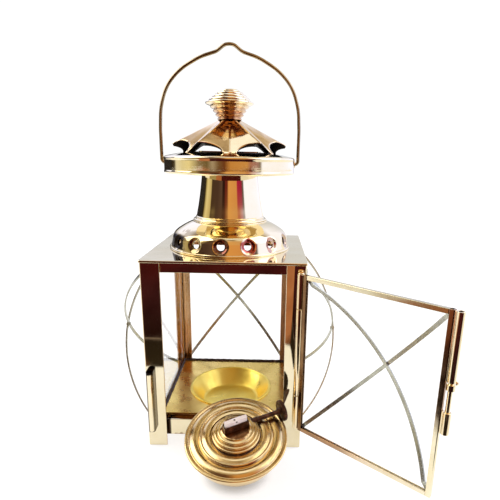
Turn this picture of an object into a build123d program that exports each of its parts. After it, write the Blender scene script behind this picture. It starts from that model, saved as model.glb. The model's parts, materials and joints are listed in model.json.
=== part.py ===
"""Portable square brass oil lantern: glazed case with a hinged door, chimney stack, bail and a lift-out oil lamp.

Frame: +Z up, the lantern stands on Z = 0 on its four post ends, the door is on the -Y side and the
origin is the centre of the footprint. Millimetres. The door stands open and the lamp leans against the
front sill, the way the lantern is laid out for lighting.
"""

from build123d import *
import math
import os

os.makedirs("parts", exist_ok=True)

# ---------------------------------------------------------------- driving dimensions
HALF = 50.0  # half the width across the corner posts
POST_FLANGE = 12.0  # width of each flange of a corner post
POST_T = 1.2  # sheet of the corner posts
POST_TOP = 124.5  # underside of the roof plate

FLOOR_TOP = 17.8
FLOOR_T = 1.2
FLOOR_X = 43.7  # floor plate half width, and its rear edge
FLOOR_FRONT = -39.0  # front edge of the floor plate
SILL_LOW = 6.0  # lower edge of the sill rails
SILL_TOP = 17.3
RAIL_OUT = 47.3  # outer face of side and rear rails
SHEET = 1.0  # sheet of sills and headers
WEB_Z = 10.0  # lower face of the sill web
HEADER_LOW = 118.2
END_X = 42.6  # half length of front and rear rails, between the side rails

DISH_RIM = 30.4
DISH_MOUTH = 28.4
DISH_FLOOR_R = 20.4
DISH_FLOOR_Z = 7.2  # upper face of the dish floor
DISH_T = 0.8

ROOF_HALF = 50.7
ROOF_T = 1.5
ROOF_HOLE = 33.0

GLASS_T = 2.0
GLASS_IN = 44.0  # inner face of the side and rear panes
GLASS_LOW = 11.2
GLASS_HIGH = 122.8

COLLAR_T = 1.0
VENT_COUNT = 14
VENT_D = 5.6
VENT_Z = 132.4
VENT_TURN = -93.9  # azimuth of the first vent hole

NECK_Z0 = 144.6
NECK_Z1 = 174.6
NECK_R0 = 22.9
NECK_R1 = 18.6
NECK_T = 0.8

PAN_R = 43.0
PAN_T = 1.0
PAN_TOP = 188.0  # flat on which the canopy stands
PAN_FLAT_R = 33.0
PAN_TOP_HOLE = 18.0

CANOPY_TOP = 209.0
CANOPY_TOP_R = 7.2
CANOPY_VALLEY_R = 31.0
CANOPY_RIDGE_R = 50.0
CANOPY_T = 0.9
ARCH_R = 17.4
ARCH_PEAK = 194.2
FLUTES = 6
CANOPY_TURN = 5.0  # the canopy is screwed down a little turned

STUD_R = 2.0
FINIAL_TOP = 227.6

BAIL_WIRE = 2.2
BAIL_Z = 181.9  # pivot height
BAIL_X = 45.2  # centre of the bail legs at the pivot
PIVOT_GAP = 0.05

STRIP_W = 2.3  # guard strip width
STRIP_T = 0.9
STRIP_BOW = 25.0
STRIP_FOOT = 6.0
STRIP_DY = 45.0  # from the crossing to a strip's end, across the face
STRIP_DZ = 54.0
STRIP_MID = 66.5

HINGE_X = 46.5
HINGE_Y = -53.0
DOOR_ANGLE = -42.0  # direction of the open door from +X; closed it is 180
KNUCKLE_R = 2.1
PIN_R = 1.1
KNUCKLE_Z = (17.4, 41.0, 98.5, 120.2)

DOOR_LOW = 17.2
DOOR_HIGH = 120.3
DOOR_T = 2.8
DOOR_GLASS_T = 1.5
STILE_W = 2.7
STILE_IN = 2.5  # hinge axis to the hinge stile
STILE_OUT = 90.6  # hinge axis to the outer edge of the free stile
LATCH_U = 93.0  # hinge axis to the latch axis
GROOVE_W = 1.7
GROOVE_D = 1.6

LATCH_R = 1.2
LATCH_GAP = 0.06
TUBE_R = 2.0
KEEPER_R = 2.25
KEEPER_Z = (13.0, 55.0)
UPPER_TUBE_Z = (84.0, 120.0)
LOWER_TUBE_Z = (56.0, 68.0)
ROD_Z = (57.0, 112.0)
KNOB_Z = 81.6

LAMP_AT = (9.64, -73.4, 23.4)  # centre of the lamp's rim plane
LAMP_TILT = 16.6
RIM_R = 30.9
FOOT_H = -19.15
WINDER_AZ = 26.0
WINDER_H = 4.8
WINDER_OFF = 3.1  # winder axis to the middle of the wick
WHEEL_R = 1.65
SPINDLE_R = 0.9
SHAFT_R = 1.4  # the part of the winder outside the burner
WICK_W = 14.0
WICK_T = 2.8
WICK_TOP = 15.2
TUBE_TOP = 12.4


def out(builder, name):
    """Label a finished piece and write it."""
    builder.part.label = name
    export_step(builder.part, f"parts/{name}.step")


# ---------------------------------------------------------------- corner posts: angle sections that run down as feet
for name, sx, sy in (
    ("corner_post_front_left", -1, -1),
    ("corner_post_front_right", 1, -1),
    ("corner_post_rear_left", -1, 1),
    ("corner_post_rear_right", 1, 1),
):
    with BuildPart() as post:
        with BuildSketch(Plane.XY):
            with BuildLine():
                Polyline(
                    (sx * HALF, sy * HALF),
                    (sx * (HALF - POST_FLANGE), sy * HALF),
                    (sx * (HALF - POST_FLANGE), sy * (HALF - POST_T)),
                    (sx * (HALF - POST_T), sy * (HALF - POST_T)),
                    (sx * (HALF - POST_T), sy * (HALF - POST_FLANGE)),
                    (sx * HALF, sy * (HALF - POST_FLANGE)),
                    close=True,
                )
            make_face()
        extrude(amount=POST_TOP)
        outer = post.edges().filter_by(Axis.Z).sort_by(
            lambda e: abs(e.center().X) + abs(e.center().Y)
        )[-1:]
        fillet(outer, radius=0.8)
    out(post, name)

# ---------------------------------------------------------------- sills: channels under the floor plate and the panes
for name, s in (("left_sill", -1), ("right_sill", 1)):
    with BuildPart() as sill:
        with BuildSketch(Plane.XZ.offset(-48.6)):
            with BuildLine():
                Polyline(
                    (s * RAIL_OUT, SILL_LOW),
                    (s * RAIL_OUT, SILL_TOP),
                    (s * (RAIL_OUT - SHEET), SILL_TOP),
                    (s * (RAIL_OUT - SHEET), WEB_Z + SHEET),
                    (s * FLOOR_X, WEB_Z + SHEET),
                    (s * FLOOR_X, FLOOR_TOP - FLOOR_T),
                    (s * (FLOOR_X - SHEET), FLOOR_TOP - FLOOR_T),
                    (s * (FLOOR_X - SHEET), WEB_Z),
                    (s * (RAIL_OUT - SHEET), WEB_Z),
                    (s * (RAIL_OUT - SHEET), SILL_LOW),
                    close=True,
                )
            make_face()
        extrude(amount=97.2)
    out(sill, name)

with BuildPart() as rear_sill:
    with BuildSketch(Plane.YZ.offset(-END_X)):
        with BuildLine():
            Polyline(
                (RAIL_OUT, SILL_LOW),
                (RAIL_OUT, SILL_TOP),
                (RAIL_OUT - SHEET, SILL_TOP),
                (RAIL_OUT - SHEET, WEB_Z + SHEET),
                (FLOOR_X, WEB_Z + SHEET),
                (FLOOR_X, FLOOR_TOP - FLOOR_T),
                (FLOOR_X - SHEET, FLOOR_TOP - FLOOR_T),
                (FLOOR_X - SHEET, WEB_Z),
                (RAIL_OUT - SHEET, WEB_Z),
                (RAIL_OUT - SHEET, SILL_LOW),
                close=True,
            )
        make_face()
    extrude(amount=2 * END_X)
out(rear_sill, "rear_sill")

FRONT_RAIL = -46.3
with BuildPart() as front_sill:
    with BuildSketch(Plane.YZ.offset(-END_X)):
        with BuildLine():
            Polyline(
                (FRONT_RAIL, SILL_LOW),
                (FRONT_RAIL, SILL_TOP),
                (FRONT_RAIL + SHEET, SILL_TOP),
                (FRONT_RAIL + SHEET, WEB_Z + SHEET),
                (FLOOR_FRONT, WEB_Z + SHEET),
                (FLOOR_FRONT, FLOOR_TOP - FLOOR_T),
                (FLOOR_FRONT + SHEET, FLOOR_TOP - FLOOR_T),
                (FLOOR_FRONT + SHEET, WEB_Z),
                (FRONT_RAIL + SHEET, WEB_Z),
                (FRONT_RAIL + SHEET, SILL_LOW),
                close=True,
            )
        make_face()
    extrude(amount=2 * END_X)
out(front_sill, "front_sill")

# ---------------------------------------------------------------- headers: channels under the roof plate
for name, s in (("left_header", -1), ("right_header", 1)):
    with BuildPart() as header:
        with BuildSketch(Plane.XZ.offset(-48.6)):
            with BuildLine():
                Polyline(
                    (s * RAIL_OUT, HEADER_LOW),
                    (s * RAIL_OUT, POST_TOP),
                    (s * (FLOOR_X - SHEET), POST_TOP),
                    (s * (FLOOR_X - SHEET), HEADER_LOW),
                    (s * FLOOR_X, HEADER_LOW),
                    (s * FLOOR_X, POST_TOP - SHEET),
                    (s * (RAIL_OUT - SHEET), POST_TOP - SHEET),
                    (s * (RAIL_OUT - SHEET), HEADER_LOW),
                    close=True,
                )
            make_face()
        extrude(amount=97.2)
    out(header, name)

with BuildPart() as rear_header:
    with BuildSketch(Plane.YZ.offset(-END_X)):
        with BuildLine():
            Polyline(
                (RAIL_OUT, HEADER_LOW),
                (RAIL_OUT, POST_TOP),
                (FLOOR_X - SHEET, POST_TOP),
                (FLOOR_X - SHEET, HEADER_LOW),
                (FLOOR_X, HEADER_LOW),
                (FLOOR_X, POST_TOP - SHEET),
                (RAIL_OUT - SHEET, POST_TOP - SHEET),
                (RAIL_OUT - SHEET, HEADER_LOW),
                close=True,
            )
        make_face()
    extrude(amount=2 * END_X)
out(rear_header, "rear_header")

with BuildPart() as front_header:
    with BuildSketch(Plane.YZ.offset(-END_X)):
        with BuildLine():
            Polyline(
                (-48.4, HEADER_LOW),
                (-48.4, POST_TOP),
                (-42.0, POST_TOP),
                (-42.0, POST_TOP - SHEET),
                (-48.4 + SHEET, POST_TOP - SHEET),
                (-48.4 + SHEET, HEADER_LOW),
                close=True,
            )
        make_face()
    extrude(amount=2 * END_X)
out(front_header, "front_header")

# ---------------------------------------------------------------- floor plate and the dish that the lamp stands in
with BuildPart() as floor_plate:
    with BuildSketch(Plane.XY.offset(FLOOR_TOP - FLOOR_T)):
        with Locations((0, (FLOOR_FRONT + FLOOR_X) / 2)):
            Rectangle(2 * FLOOR_X, FLOOR_X - FLOOR_FRONT)
        Circle(DISH_MOUTH + 1.2, mode=Mode.SUBTRACT)
    extrude(amount=FLOOR_T)
out(floor_plate, "floor_plate")

with BuildPart() as lamp_dish:
    with BuildSketch(Plane.XZ):
        with BuildLine():
            Polyline(
                (0, DISH_FLOOR_Z - DISH_T),
                (DISH_FLOOR_R + 0.4, DISH_FLOOR_Z - DISH_T),
                (DISH_MOUTH + 0.85, FLOOR_TOP - 0.4),
                (DISH_MOUTH + 0.85, FLOOR_TOP),
                (DISH_RIM, FLOOR_TOP),
                (DISH_RIM, FLOOR_TOP + 0.55),
                (DISH_RIM - 0.35, FLOOR_TOP + 1.0),
                (DISH_MOUTH + 0.7, FLOOR_TOP + 1.0),
                (DISH_MOUTH + 0.15, FLOOR_TOP + 0.55),
                (DISH_FLOOR_R, DISH_FLOOR_Z),
                (0, DISH_FLOOR_Z),
                close=True,
            )
        make_face()
    revolve(axis=Axis.Z)
out(lamp_dish, "lamp_dish")

# ---------------------------------------------------------------- panes
for name, s in (("glass_left", -1), ("glass_right", 1)):
    with BuildPart() as pane:
        with BuildSketch(Plane.XY.offset(GLASS_LOW)):
            with Locations((s * (GLASS_IN + GLASS_T / 2), 0)):
                Rectangle(GLASS_T, 94.0)
        extrude(amount=GLASS_HIGH - GLASS_LOW)
    out(pane, name)

with BuildPart() as glass_rear:
    with BuildSketch(Plane.XY.offset(GLASS_LOW)):
        with Locations((0, GLASS_IN + GLASS_T / 2)):
            Rectangle(2 * (END_X - 0.2), GLASS_T)
    extrude(amount=GLASS_HIGH - GLASS_LOW)
out(glass_rear, "glass_rear")

# ---------------------------------------------------------------- roof plate
with BuildPart() as roof_plate:
    with BuildSketch(Plane.XY.offset(POST_TOP)):
        Rectangle(2 * ROOF_HALF, 2 * ROOF_HALF)
        Circle(ROOF_HOLE, mode=Mode.SUBTRACT)
    extrude(amount=ROOF_T)
    fillet(roof_plate.edges().filter_by(Axis.Z), radius=1.2)
    fillet(
        roof_plate.faces().sort_by(Axis.Z)[-1].outer_wire().edges(), radius=0.6
    )
out(roof_plate, "roof_plate")
ROOF_TOP = POST_TOP + ROOF_T

# ---------------------------------------------------------------- vented collar, neck and pan of the chimney stack
with BuildPart() as vent_collar:
    with BuildSketch(Plane.XZ):
        with BuildLine():
            a = Polyline((40.9, ROOF_TOP), (40.9, ROOF_TOP + 1.1), (39.9, ROOF_TOP + 1.7))
            b = Spline(
                (39.9, ROOF_TOP + 1.7),
                (39.6, 130.8),
                (38.6, 133.8),
                (35.8, 137.9),
                (33.0, 140.0),
                (28.6, 142.5),
                (25.4, 143.8),
                tangents=((0, 1), (-0.9, 0.42)),
            )
            c = Polyline(
                (25.4, 143.8),
                (25.2, NECK_Z0),
                (21.6, NECK_Z0),
                (21.6, 143.8),
                (25.0, 142.8),
            )
            d = Spline(
                (25.0, 142.8),
                (28.1, 141.6),
                (32.3, 139.2),
                (35.0, 137.2),
                (37.6, 133.4),
                (38.6, 130.6),
                (38.9, ROOF_TOP + 1.7),
                tangents=((0.9, -0.42), (0, -1)),
            )
            Polyline((38.9, ROOF_TOP + 1.7), (38.9, ROOF_TOP), (40.9, ROOF_TOP))
        make_face()
    revolve(axis=Axis.Z)
    for k in range(VENT_COUNT):
        ang = math.radians(VENT_TURN + 360.0 * k / VENT_COUNT)
        with BuildSketch(
            Plane(
                origin=(0, 0, VENT_Z),
                x_dir=(-math.sin(ang), math.cos(ang), 0),
                z_dir=(math.cos(ang), math.sin(ang), 0),
            )
        ):
            Circle(VENT_D / 2)
        extrude(amount=60, mode=Mode.SUBTRACT)
out(vent_collar, "vent_collar")

with BuildPart() as chimney_neck:
    with BuildSketch(Plane.XZ):
        with BuildLine():
            Polyline(
                (21.9, NECK_Z0),
                (24.9, NECK_Z0),
                (25.3, NECK_Z0 + 0.5),
                (25.3, NECK_Z0 + 1.0),
                (24.8, NECK_Z0 + 1.5),
                (23.4, NECK_Z0 + 1.7),
            )
            Spline(
                (23.4, NECK_Z0 + 1.7),
                (22.5, NECK_Z0 + 3.2),
                (20.4, NECK_Z0 + 15.6),
                (NECK_R1, NECK_Z1),
                tangents=((-0.6, 0.8), (-0.13, 1)),
            )
            Polyline(
                (NECK_R1, NECK_Z1),
                (NECK_R1 - NECK_T, NECK_Z1),
                (20.4 - NECK_T, NECK_Z0 + 15.6),
                (21.9, NECK_Z0 + 3.0),
                (21.9, NECK_Z0),
            )
        make_face()
    revolve(axis=Axis.Z)
out(chimney_neck, "chimney_neck")

with BuildPart() as smoke_pan:
    with BuildSketch(Plane.XZ):
        with BuildLine():
            Polyline(
                (17.4, NECK_Z1),
                (40.8, NECK_Z1 + 0.5),
                (42.4, NECK_Z1 + 1.2),
                (PAN_R, NECK_Z1 + 2.4),
                (PAN_R, 184.7),
                (42.6, 185.6),
                (41.6, 186.1),
                (PAN_FLAT_R, PAN_TOP),
                (PAN_TOP_HOLE, PAN_TOP),
                (PAN_TOP_HOLE, PAN_TOP - PAN_T),
                (PAN_FLAT_R - 0.2, PAN_TOP - PAN_T),
                (41.2, 185.1),
                (PAN_R - PAN_T, 184.3),
                (PAN_R - PAN_T, NECK_Z1 + 2.7),
                (41.6, NECK_Z1 + 2.0),
                (40.6, NECK_Z1 + 1.5),
                (17.4, NECK_Z1 + 1.0),
                close=True,
            )
        make_face()
    revolve(axis=Axis.Z)
    with BuildSketch(Plane.YZ):
        with Locations((0, BAIL_Z)):
            Circle(2.45)
    extrude(amount=60, both=True, mode=Mode.SUBTRACT)
out(smoke_pan, "smoke_pan")

with BuildPart() as smoke_baffle:
    with BuildSketch(Plane.XY.offset(PAN_TOP)):
        Circle(28.4)
        Circle(21.2, mode=Mode.SUBTRACT)
    extrude(amount=0.8)
out(smoke_baffle, "smoke_baffle")

# ---------------------------------------------------------------- fluted canopy, its bridge, stud and finial


def star(ridge, valley):
    """Corners of the folded rim: a valley near the front centre and every 60 degrees."""
    pts = []
    for k in range(FLUTES):
        av = math.radians(CANOPY_TURN - 90 + 360.0 * k / FLUTES)
        ar = math.radians(CANOPY_TURN - 60 + 360.0 * k / FLUTES)
        pts.append((valley * math.cos(av), valley * math.sin(av)))
        pts.append((ridge * math.cos(ar), ridge * math.sin(ar)))
    return pts


with BuildPart() as canopy:
    with BuildSketch(Plane.XY.offset(PAN_TOP)):
        with BuildLine():
            Polyline(*star(CANOPY_RIDGE_R, CANOPY_VALLEY_R), close=True)
        make_face()
    with BuildSketch(Plane.XY.offset(CANOPY_TOP)):
        with BuildLine():
            Polyline(*star(CANOPY_TOP_R + 0.2, CANOPY_TOP_R - 1.2), close=True)
        make_face()
    loft(ruled=True)
    with BuildSketch(Plane.XY.offset(PAN_TOP - 0.1)):
        with BuildLine():
            Polyline(*star(CANOPY_RIDGE_R - 1.7, CANOPY_VALLEY_R - 1.25), close=True)
        make_face()
    with BuildSketch(Plane.XY.offset(CANOPY_TOP - 1.2)):
        with BuildLine():
            Polyline(*star(CANOPY_TOP_R + 0.9, CANOPY_TOP_R - 1.2), close=True)
        make_face()
    loft(ruled=True, mode=Mode.SUBTRACT)
    for k in range(FLUTES):
        ang = math.radians(CANOPY_TURN - 60 + 360.0 * k / FLUTES)
        with BuildSketch(
            Plane(
                origin=(14 * math.cos(ang), 14 * math.sin(ang), ARCH_PEAK - ARCH_R),
                x_dir=(-math.sin(ang), math.cos(ang), 0),
                z_dir=(math.cos(ang), math.sin(ang), 0),
            )
        ):
            Circle(ARCH_R)
        extrude(amount=50, mode=Mode.SUBTRACT)
    with BuildSketch(Plane.XY.offset(CANOPY_TOP - 6)):
        Circle(STUD_R + 0.1)
    extrude(amount=10, mode=Mode.SUBTRACT)
out(canopy, "canopy")

with BuildPart() as canopy_bridge:
    with BuildSketch(Plane.XY.offset(PAN_TOP)):
        SlotOverall(41.0, 7.0)
        Circle(STUD_R + 0.1, mode=Mode.SUBTRACT)
    extrude(amount=1.5)
out(canopy_bridge, "canopy_bridge")

with BuildPart() as finial_stud:
    with BuildSketch(Plane.XY.offset(PAN_TOP - 3.0)):
        RegularPolygon(3.9, 6)
    extrude(amount=3.0)
    with BuildSketch(Plane.XY.offset(PAN_TOP - 1.0)):
        Circle(STUD_R)
    extrude(amount=26.5)
out(finial_stud, "finial_stud")

with BuildPart() as finial:
    with BuildSketch(Plane.XZ):
        with BuildLine():
            Polyline(
                (STUD_R + 0.1, CANOPY_TOP),
                (7.6, CANOPY_TOP),
                (7.9, 209.7),
                (7.2, 210.3),
                (8.9, 211.6),
                (9.2, 212.2),
                (8.5, 212.7),
                (10.5, 214.1),
                (10.8, 214.7),
                (10.1, 215.2),
                (12.2, 216.4),
                (12.6, 216.9),
                (12.0, 217.4),
                (14.6, 218.3),
                (15.6, 218.9),
                (15.5, 219.7),
                (14.5, 220.1),
                (13.3, 220.0),
                (13.4, 221.1),
                (12.7, 222.1),
                (11.4, 221.9),
                (11.4, 223.0),
                (10.6, 224.0),
                (9.2, 223.9),
                (9.1, 225.0),
                (8.2, 225.8),
                (6.7, 225.7),
                (6.5, 226.6),
                (5.4, 227.2),
                (3.0, FINIAL_TOP),
                (0, FINIAL_TOP),
                (0, 214.2),
                (STUD_R + 0.1, 214.2),
                close=True,
            )
        make_face()
    revolve(axis=Axis.Z)
out(finial, "finial")

# ---------------------------------------------------------------- wire guards: two bowed strips on each glazed side


def strip_reach(half, bow):
    """Half the chord of a strip's upper side, where its arc meets the flat foot."""
    radius = (half * half + bow * bow) / (2 * bow)
    return math.sqrt((radius + STRIP_T) ** 2 - (STRIP_T + radius - bow) ** 2)


RIVET_R = 0.65
HEAD_R = 1.1
INNER_BOW = STRIP_BOW - STRIP_T - 0.15
rivet_axes = []
for side, outward, across in (
    ("left", Vector(-1, 0, 0), Vector(0, 1, 0)),
    ("right", Vector(1, 0, 0), Vector(0, 1, 0)),
    ("rear", Vector(0, 1, 0), Vector(1, 0, 0)),
):
    mid = outward * HALF + Vector(0, 0, STRIP_MID)
    rivet_axes.append((mid, outward))
    for which, lean, bow in (("outer", 1, STRIP_BOW), ("inner", -1, INNER_BOW)):
        along = (across * STRIP_DY + Vector(0, 0, lean * STRIP_DZ)).normalized()
        half = math.hypot(STRIP_DY, STRIP_DZ) - STRIP_FOOT
        over, end = strip_reach(half, bow), half + STRIP_FOOT
        with BuildPart() as strip:
            with BuildSketch(Plane(origin=mid, x_dir=along, z_dir=along.cross(outward))):
                with BuildLine():
                    Polyline((-half, 0), (-end, 0), (-end, STRIP_T), (-over, STRIP_T))
                    ThreePointArc((-over, STRIP_T), (0, bow + STRIP_T), (over, STRIP_T))
                    Polyline((over, STRIP_T), (end, STRIP_T), (end, 0), (half, 0))
                    ThreePointArc((half, 0), (0, bow), (-half, 0))
                make_face()
            extrude(amount=STRIP_W / 2, both=True)
            with BuildSketch(Plane(origin=mid + outward * (bow - 4), z_dir=outward)):
                Circle(RIVET_R + 0.05)
            extrude(amount=8, mode=Mode.SUBTRACT)
        out(strip, f"guard_{side}_{which}")

with BuildPart() as guard_rivets:
    for mid, outward in rivet_axes:
        with BuildSketch(Plane(origin=mid + outward * (INNER_BOW - 0.5), z_dir=outward)):
            Circle(HEAD_R)
        extrude(amount=0.5)
        with BuildSketch(Plane(origin=mid + outward * (INNER_BOW - 0.2), z_dir=outward)):
            Circle(RIVET_R)
        extrude(amount=2 * STRIP_T + 0.55)
        with BuildSketch(Plane(origin=mid + outward * (STRIP_BOW + STRIP_T), z_dir=outward)):
            Circle(HEAD_R)
        extrude(amount=0.5)
out(guard_rivets, "guard_rivets")

# ---------------------------------------------------------------- bail and the ferrules it turns in
with BuildPart() as bail_ferrules:
    for s in (-1, 1):
        with BuildSketch(Plane(origin=(s * 40.6, 0, BAIL_Z), z_dir=(s, 0, 0))):
            Circle(2.4)
            Circle(BAIL_WIRE / 2 + PIVOT_GAP, mode=Mode.SUBTRACT)
        extrude(amount=2.6)
        with BuildSketch(Plane(origin=(s * 40.6, 0, BAIL_Z), z_dir=(s, 0, 0))):
            Circle(2.65)
            Circle(BAIL_WIRE / 2 + PIVOT_GAP, mode=Mode.SUBTRACT)
        extrude(amount=0.9)
out(bail_ferrules, "bail_ferrules")

bail_points = [
    (38.6, BAIL_Z),
    (BAIL_X, BAIL_Z),
    (45.3, 203.0),
    (44.6, 216.0),
    (40.3, 229.5),
    (31.0, 239.3),
    (18.5, 246.4),
    (8.0, 249.6),
    (2.6, 253.9),
]
bail_path = [(x, z) for x, z in bail_points] + [(-x, z) for x, z in reversed(bail_points)]
bail_radii = [2.0, 60.0, 40.0, 30.0, 40.0, 40.0, 9.0, 6.6]
with BuildPart() as bail_handle:
    with BuildLine(Plane.XZ) as bail_line:
        FilletPolyline(*bail_path, radius=bail_radii + list(reversed(bail_radii)))
    with BuildSketch(Plane(origin=(38.6, 0, BAIL_Z), z_dir=(1, 0, 0))):
        Circle(BAIL_WIRE / 2)
    sweep(path=bail_line.wire())
    for s in (-1, 1):
        with BuildSketch(Plane(origin=(s * 39.9, 0, BAIL_Z), z_dir=(-s, 0, 0))):
            Circle(2.1)
        extrude(amount=1.4)
out(bail_handle, "bail_handle")
bail_length = bail_line.wire().length
print("bail wire", round(bail_length, 1), "mm; volume ratio",
      round(bail_handle.part.volume / (math.pi * (BAIL_WIRE / 2) ** 2 * bail_length), 3))

# ---------------------------------------------------------------- door hinge on the right post
with BuildPart() as hinge_knuckles:
    for z0, z1 in ((KNUCKLE_Z[0], KNUCKLE_Z[1] - 0.15), (KNUCKLE_Z[2] + 0.15, KNUCKLE_Z[3])):
        with BuildSketch(Plane.XY.offset(z0)):
            with Locations((HINGE_X, HINGE_Y)):
                Circle(KNUCKLE_R)
            with Locations((HINGE_X, (-HALF - 52.0) / 2)):
                Rectangle(3.6, 2.0)
            with Locations((HINGE_X, HINGE_Y)):
                Circle(PIN_R + 0.05, mode=Mode.SUBTRACT)
        extrude(amount=z1 - z0)
out(hinge_knuckles, "hinge_knuckles")

with BuildPart() as hinge_pin:
    with BuildSketch(Plane.XY.offset(KNUCKLE_Z[0] + 0.6)):
        with Locations((HINGE_X, HINGE_Y)):
            Circle(PIN_R)
    extrude(amount=KNUCKLE_Z[3] - KNUCKLE_Z[0])
    with BuildSketch(Plane.XY.offset(KNUCKLE_Z[3])):
        with Locations((HINGE_X, HINGE_Y)):
            Circle(1.9)
    extrude(amount=0.9)
    fillet(hinge_pin.faces().sort_by(Axis.Z)[-1].edges(), radius=0.5)
out(hinge_pin, "hinge_pin")

# ---------------------------------------------------------------- latch keeper on the left post
with BuildPart() as latch_keeper:
    with BuildSketch(Plane.XY.offset(KEEPER_Z[0])):
        with Locations((-HINGE_X, HINGE_Y)):
            Circle(KEEPER_R)
        with Locations((-HINGE_X, (-HALF - 52.0) / 2)):
            Rectangle(4.4, 2.0)
        with Locations((-HINGE_X, HINGE_Y)):
            Circle(LATCH_R + 0.4, mode=Mode.SUBTRACT)
    extrude(amount=KEEPER_Z[1] - KEEPER_Z[0])
out(latch_keeper, "latch_keeper")

# ---------------------------------------------------------------- door, in its open position
door_dir = Vector(math.cos(math.radians(DOOR_ANGLE)), math.sin(math.radians(DOOR_ANGLE)), 0)
door_in = Vector(door_dir.Y, -door_dir.X, 0)  # towards the lantern when the door is shut
door_plane = Plane(origin=(HINGE_X, HINGE_Y, 0), x_dir=door_dir, z_dir=door_in)


def door_at(u, v, w):
    """A point on the door: along it from the hinge axis, up, and inwards."""
    return Vector(HINGE_X, HINGE_Y, 0) + door_dir * u + Vector(0, 0, v) + door_in * w


# each channel is a square bar with a glazing groove
for name, u0, u1, groove in (
    ("door_hinge_stile", STILE_IN, STILE_IN + STILE_W, 1),
    ("door_free_stile", STILE_OUT - STILE_W, STILE_OUT, -1),
):
    with BuildPart() as stile:
        with BuildSketch(Plane(origin=door_at(0, DOOR_LOW, 0), x_dir=door_dir, z_dir=(0, 0, 1))):
            with Locations(((u0 + u1) / 2, 0)):
                Rectangle(u1 - u0, DOOR_T)
            with Locations(((u1 if groove > 0 else u0), 0)):
                Rectangle(2 * GROOVE_D, GROOVE_W, mode=Mode.SUBTRACT)
        extrude(amount=DOOR_HIGH - DOOR_LOW)
        fillet(
            stile.edges().filter_by(Axis.Z).sort_by(
                lambda e: groove * (e.center() - door_at(0, 0, 0)).dot(door_dir)
            )[:2],
            radius=0.6,
        )
    out(stile, name)

for name, v0, v1, groove in (
    ("door_top_rail", DOOR_HIGH - STILE_W, DOOR_HIGH, -1),
    ("door_bottom_rail", DOOR_LOW, DOOR_LOW + STILE_W, 1),
):
    with BuildPart() as rail:
        start = STILE_IN + STILE_W
        with BuildSketch(Plane(origin=door_at(start, 0, 0), x_dir=(0, 0, 1), z_dir=door_dir)):
            with Locations(((v0 + v1) / 2, 0)):
                Rectangle(v1 - v0, DOOR_T)
            with Locations(((v1 if groove > 0 else v0), 0)):
                Rectangle(2 * GROOVE_D, GROOVE_W, mode=Mode.SUBTRACT)
        extrude(amount=STILE_OUT - STILE_W - start)
    out(rail, name)

with BuildPart() as door_glass:
    with BuildSketch(door_plane):
        with Locations(
            ((STILE_IN + STILE_OUT) / 2, (DOOR_LOW + DOOR_HIGH) / 2)
        ):
            Rectangle(
                STILE_OUT - STILE_IN - 2 * (STILE_W - GROOVE_D) - 0.4,
                DOOR_HIGH - DOOR_LOW - 2 * (STILE_W - GROOVE_D) - 0.4,
            )
    extrude(amount=DOOR_GLASS_T / 2, both=True)
out(door_glass, "door_glass")

with BuildPart() as door_knuckle:
    with BuildSketch(Plane(origin=door_at(0, KNUCKLE_Z[1] + 0.15, 0), x_dir=door_dir, z_dir=(0, 0, 1))):
        Circle(KNUCKLE_R)
        with Locations(((1.5 + STILE_IN) / 2, 0)):
            Rectangle(STILE_IN - 1.5, 2.4)
        Circle(PIN_R + 0.05, mode=Mode.SUBTRACT)
    extrude(amount=KNUCKLE_Z[2] - KNUCKLE_Z[1] - 0.3)
out(door_knuckle, "door_knuckle")

DOOR_DU = (STILE_OUT - STILE_IN) / 2 - 1.4
DOOR_DV = (DOOR_HIGH - DOOR_LOW) / 2 - 1.4
door_mid = door_at((STILE_IN + STILE_OUT) / 2, (DOOR_LOW + DOOR_HIGH) / 2, -DOOR_T / 2)
door_outward = door_in * -1
for which, lean, bow in (("outer", 1, STRIP_BOW), ("inner", -1, INNER_BOW)):
    along = (door_dir * DOOR_DU + Vector(0, 0, lean * DOOR_DV)).normalized()
    half = math.hypot(DOOR_DU, DOOR_DV) - STRIP_FOOT
    over, end = strip_reach(half, bow), half + STRIP_FOOT
    with BuildPart() as strip:
        with BuildSketch(Plane(origin=door_mid, x_dir=along, z_dir=along.cross(door_outward))):
            with BuildLine():
                Polyline((-half, 0), (-end, 0), (-end, STRIP_T), (-over, STRIP_T))
                ThreePointArc((-over, STRIP_T), (0, bow + STRIP_T), (over, STRIP_T))
                Polyline((over, STRIP_T), (end, STRIP_T), (end, 0), (half, 0))
                ThreePointArc((half, 0), (0, bow), (-half, 0))
            make_face()
        extrude(amount=STRIP_W / 2, both=True)
        with BuildSketch(Plane(origin=door_mid + door_outward * (bow - 4), z_dir=door_outward)):
            Circle(RIVET_R + 0.05)
        extrude(amount=8, mode=Mode.SUBTRACT)
    out(strip, f"door_guard_{which}")

with BuildPart() as door_guard_rivet:
    with BuildSketch(Plane(origin=door_mid + door_outward * (INNER_BOW - 0.5), z_dir=door_outward)):
        Circle(HEAD_R)
    extrude(amount=0.5)
    with BuildSketch(Plane(origin=door_mid + door_outward * (INNER_BOW - 0.2), z_dir=door_outward)):
        Circle(RIVET_R)
    extrude(amount=2 * STRIP_T + 0.55)
    with BuildSketch(Plane(origin=door_mid + door_outward * (STRIP_BOW + STRIP_T), z_dir=door_outward)):
        Circle(HEAD_R)
    extrude(amount=0.5)
out(door_guard_rivet, "door_guard_rivet")

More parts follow.
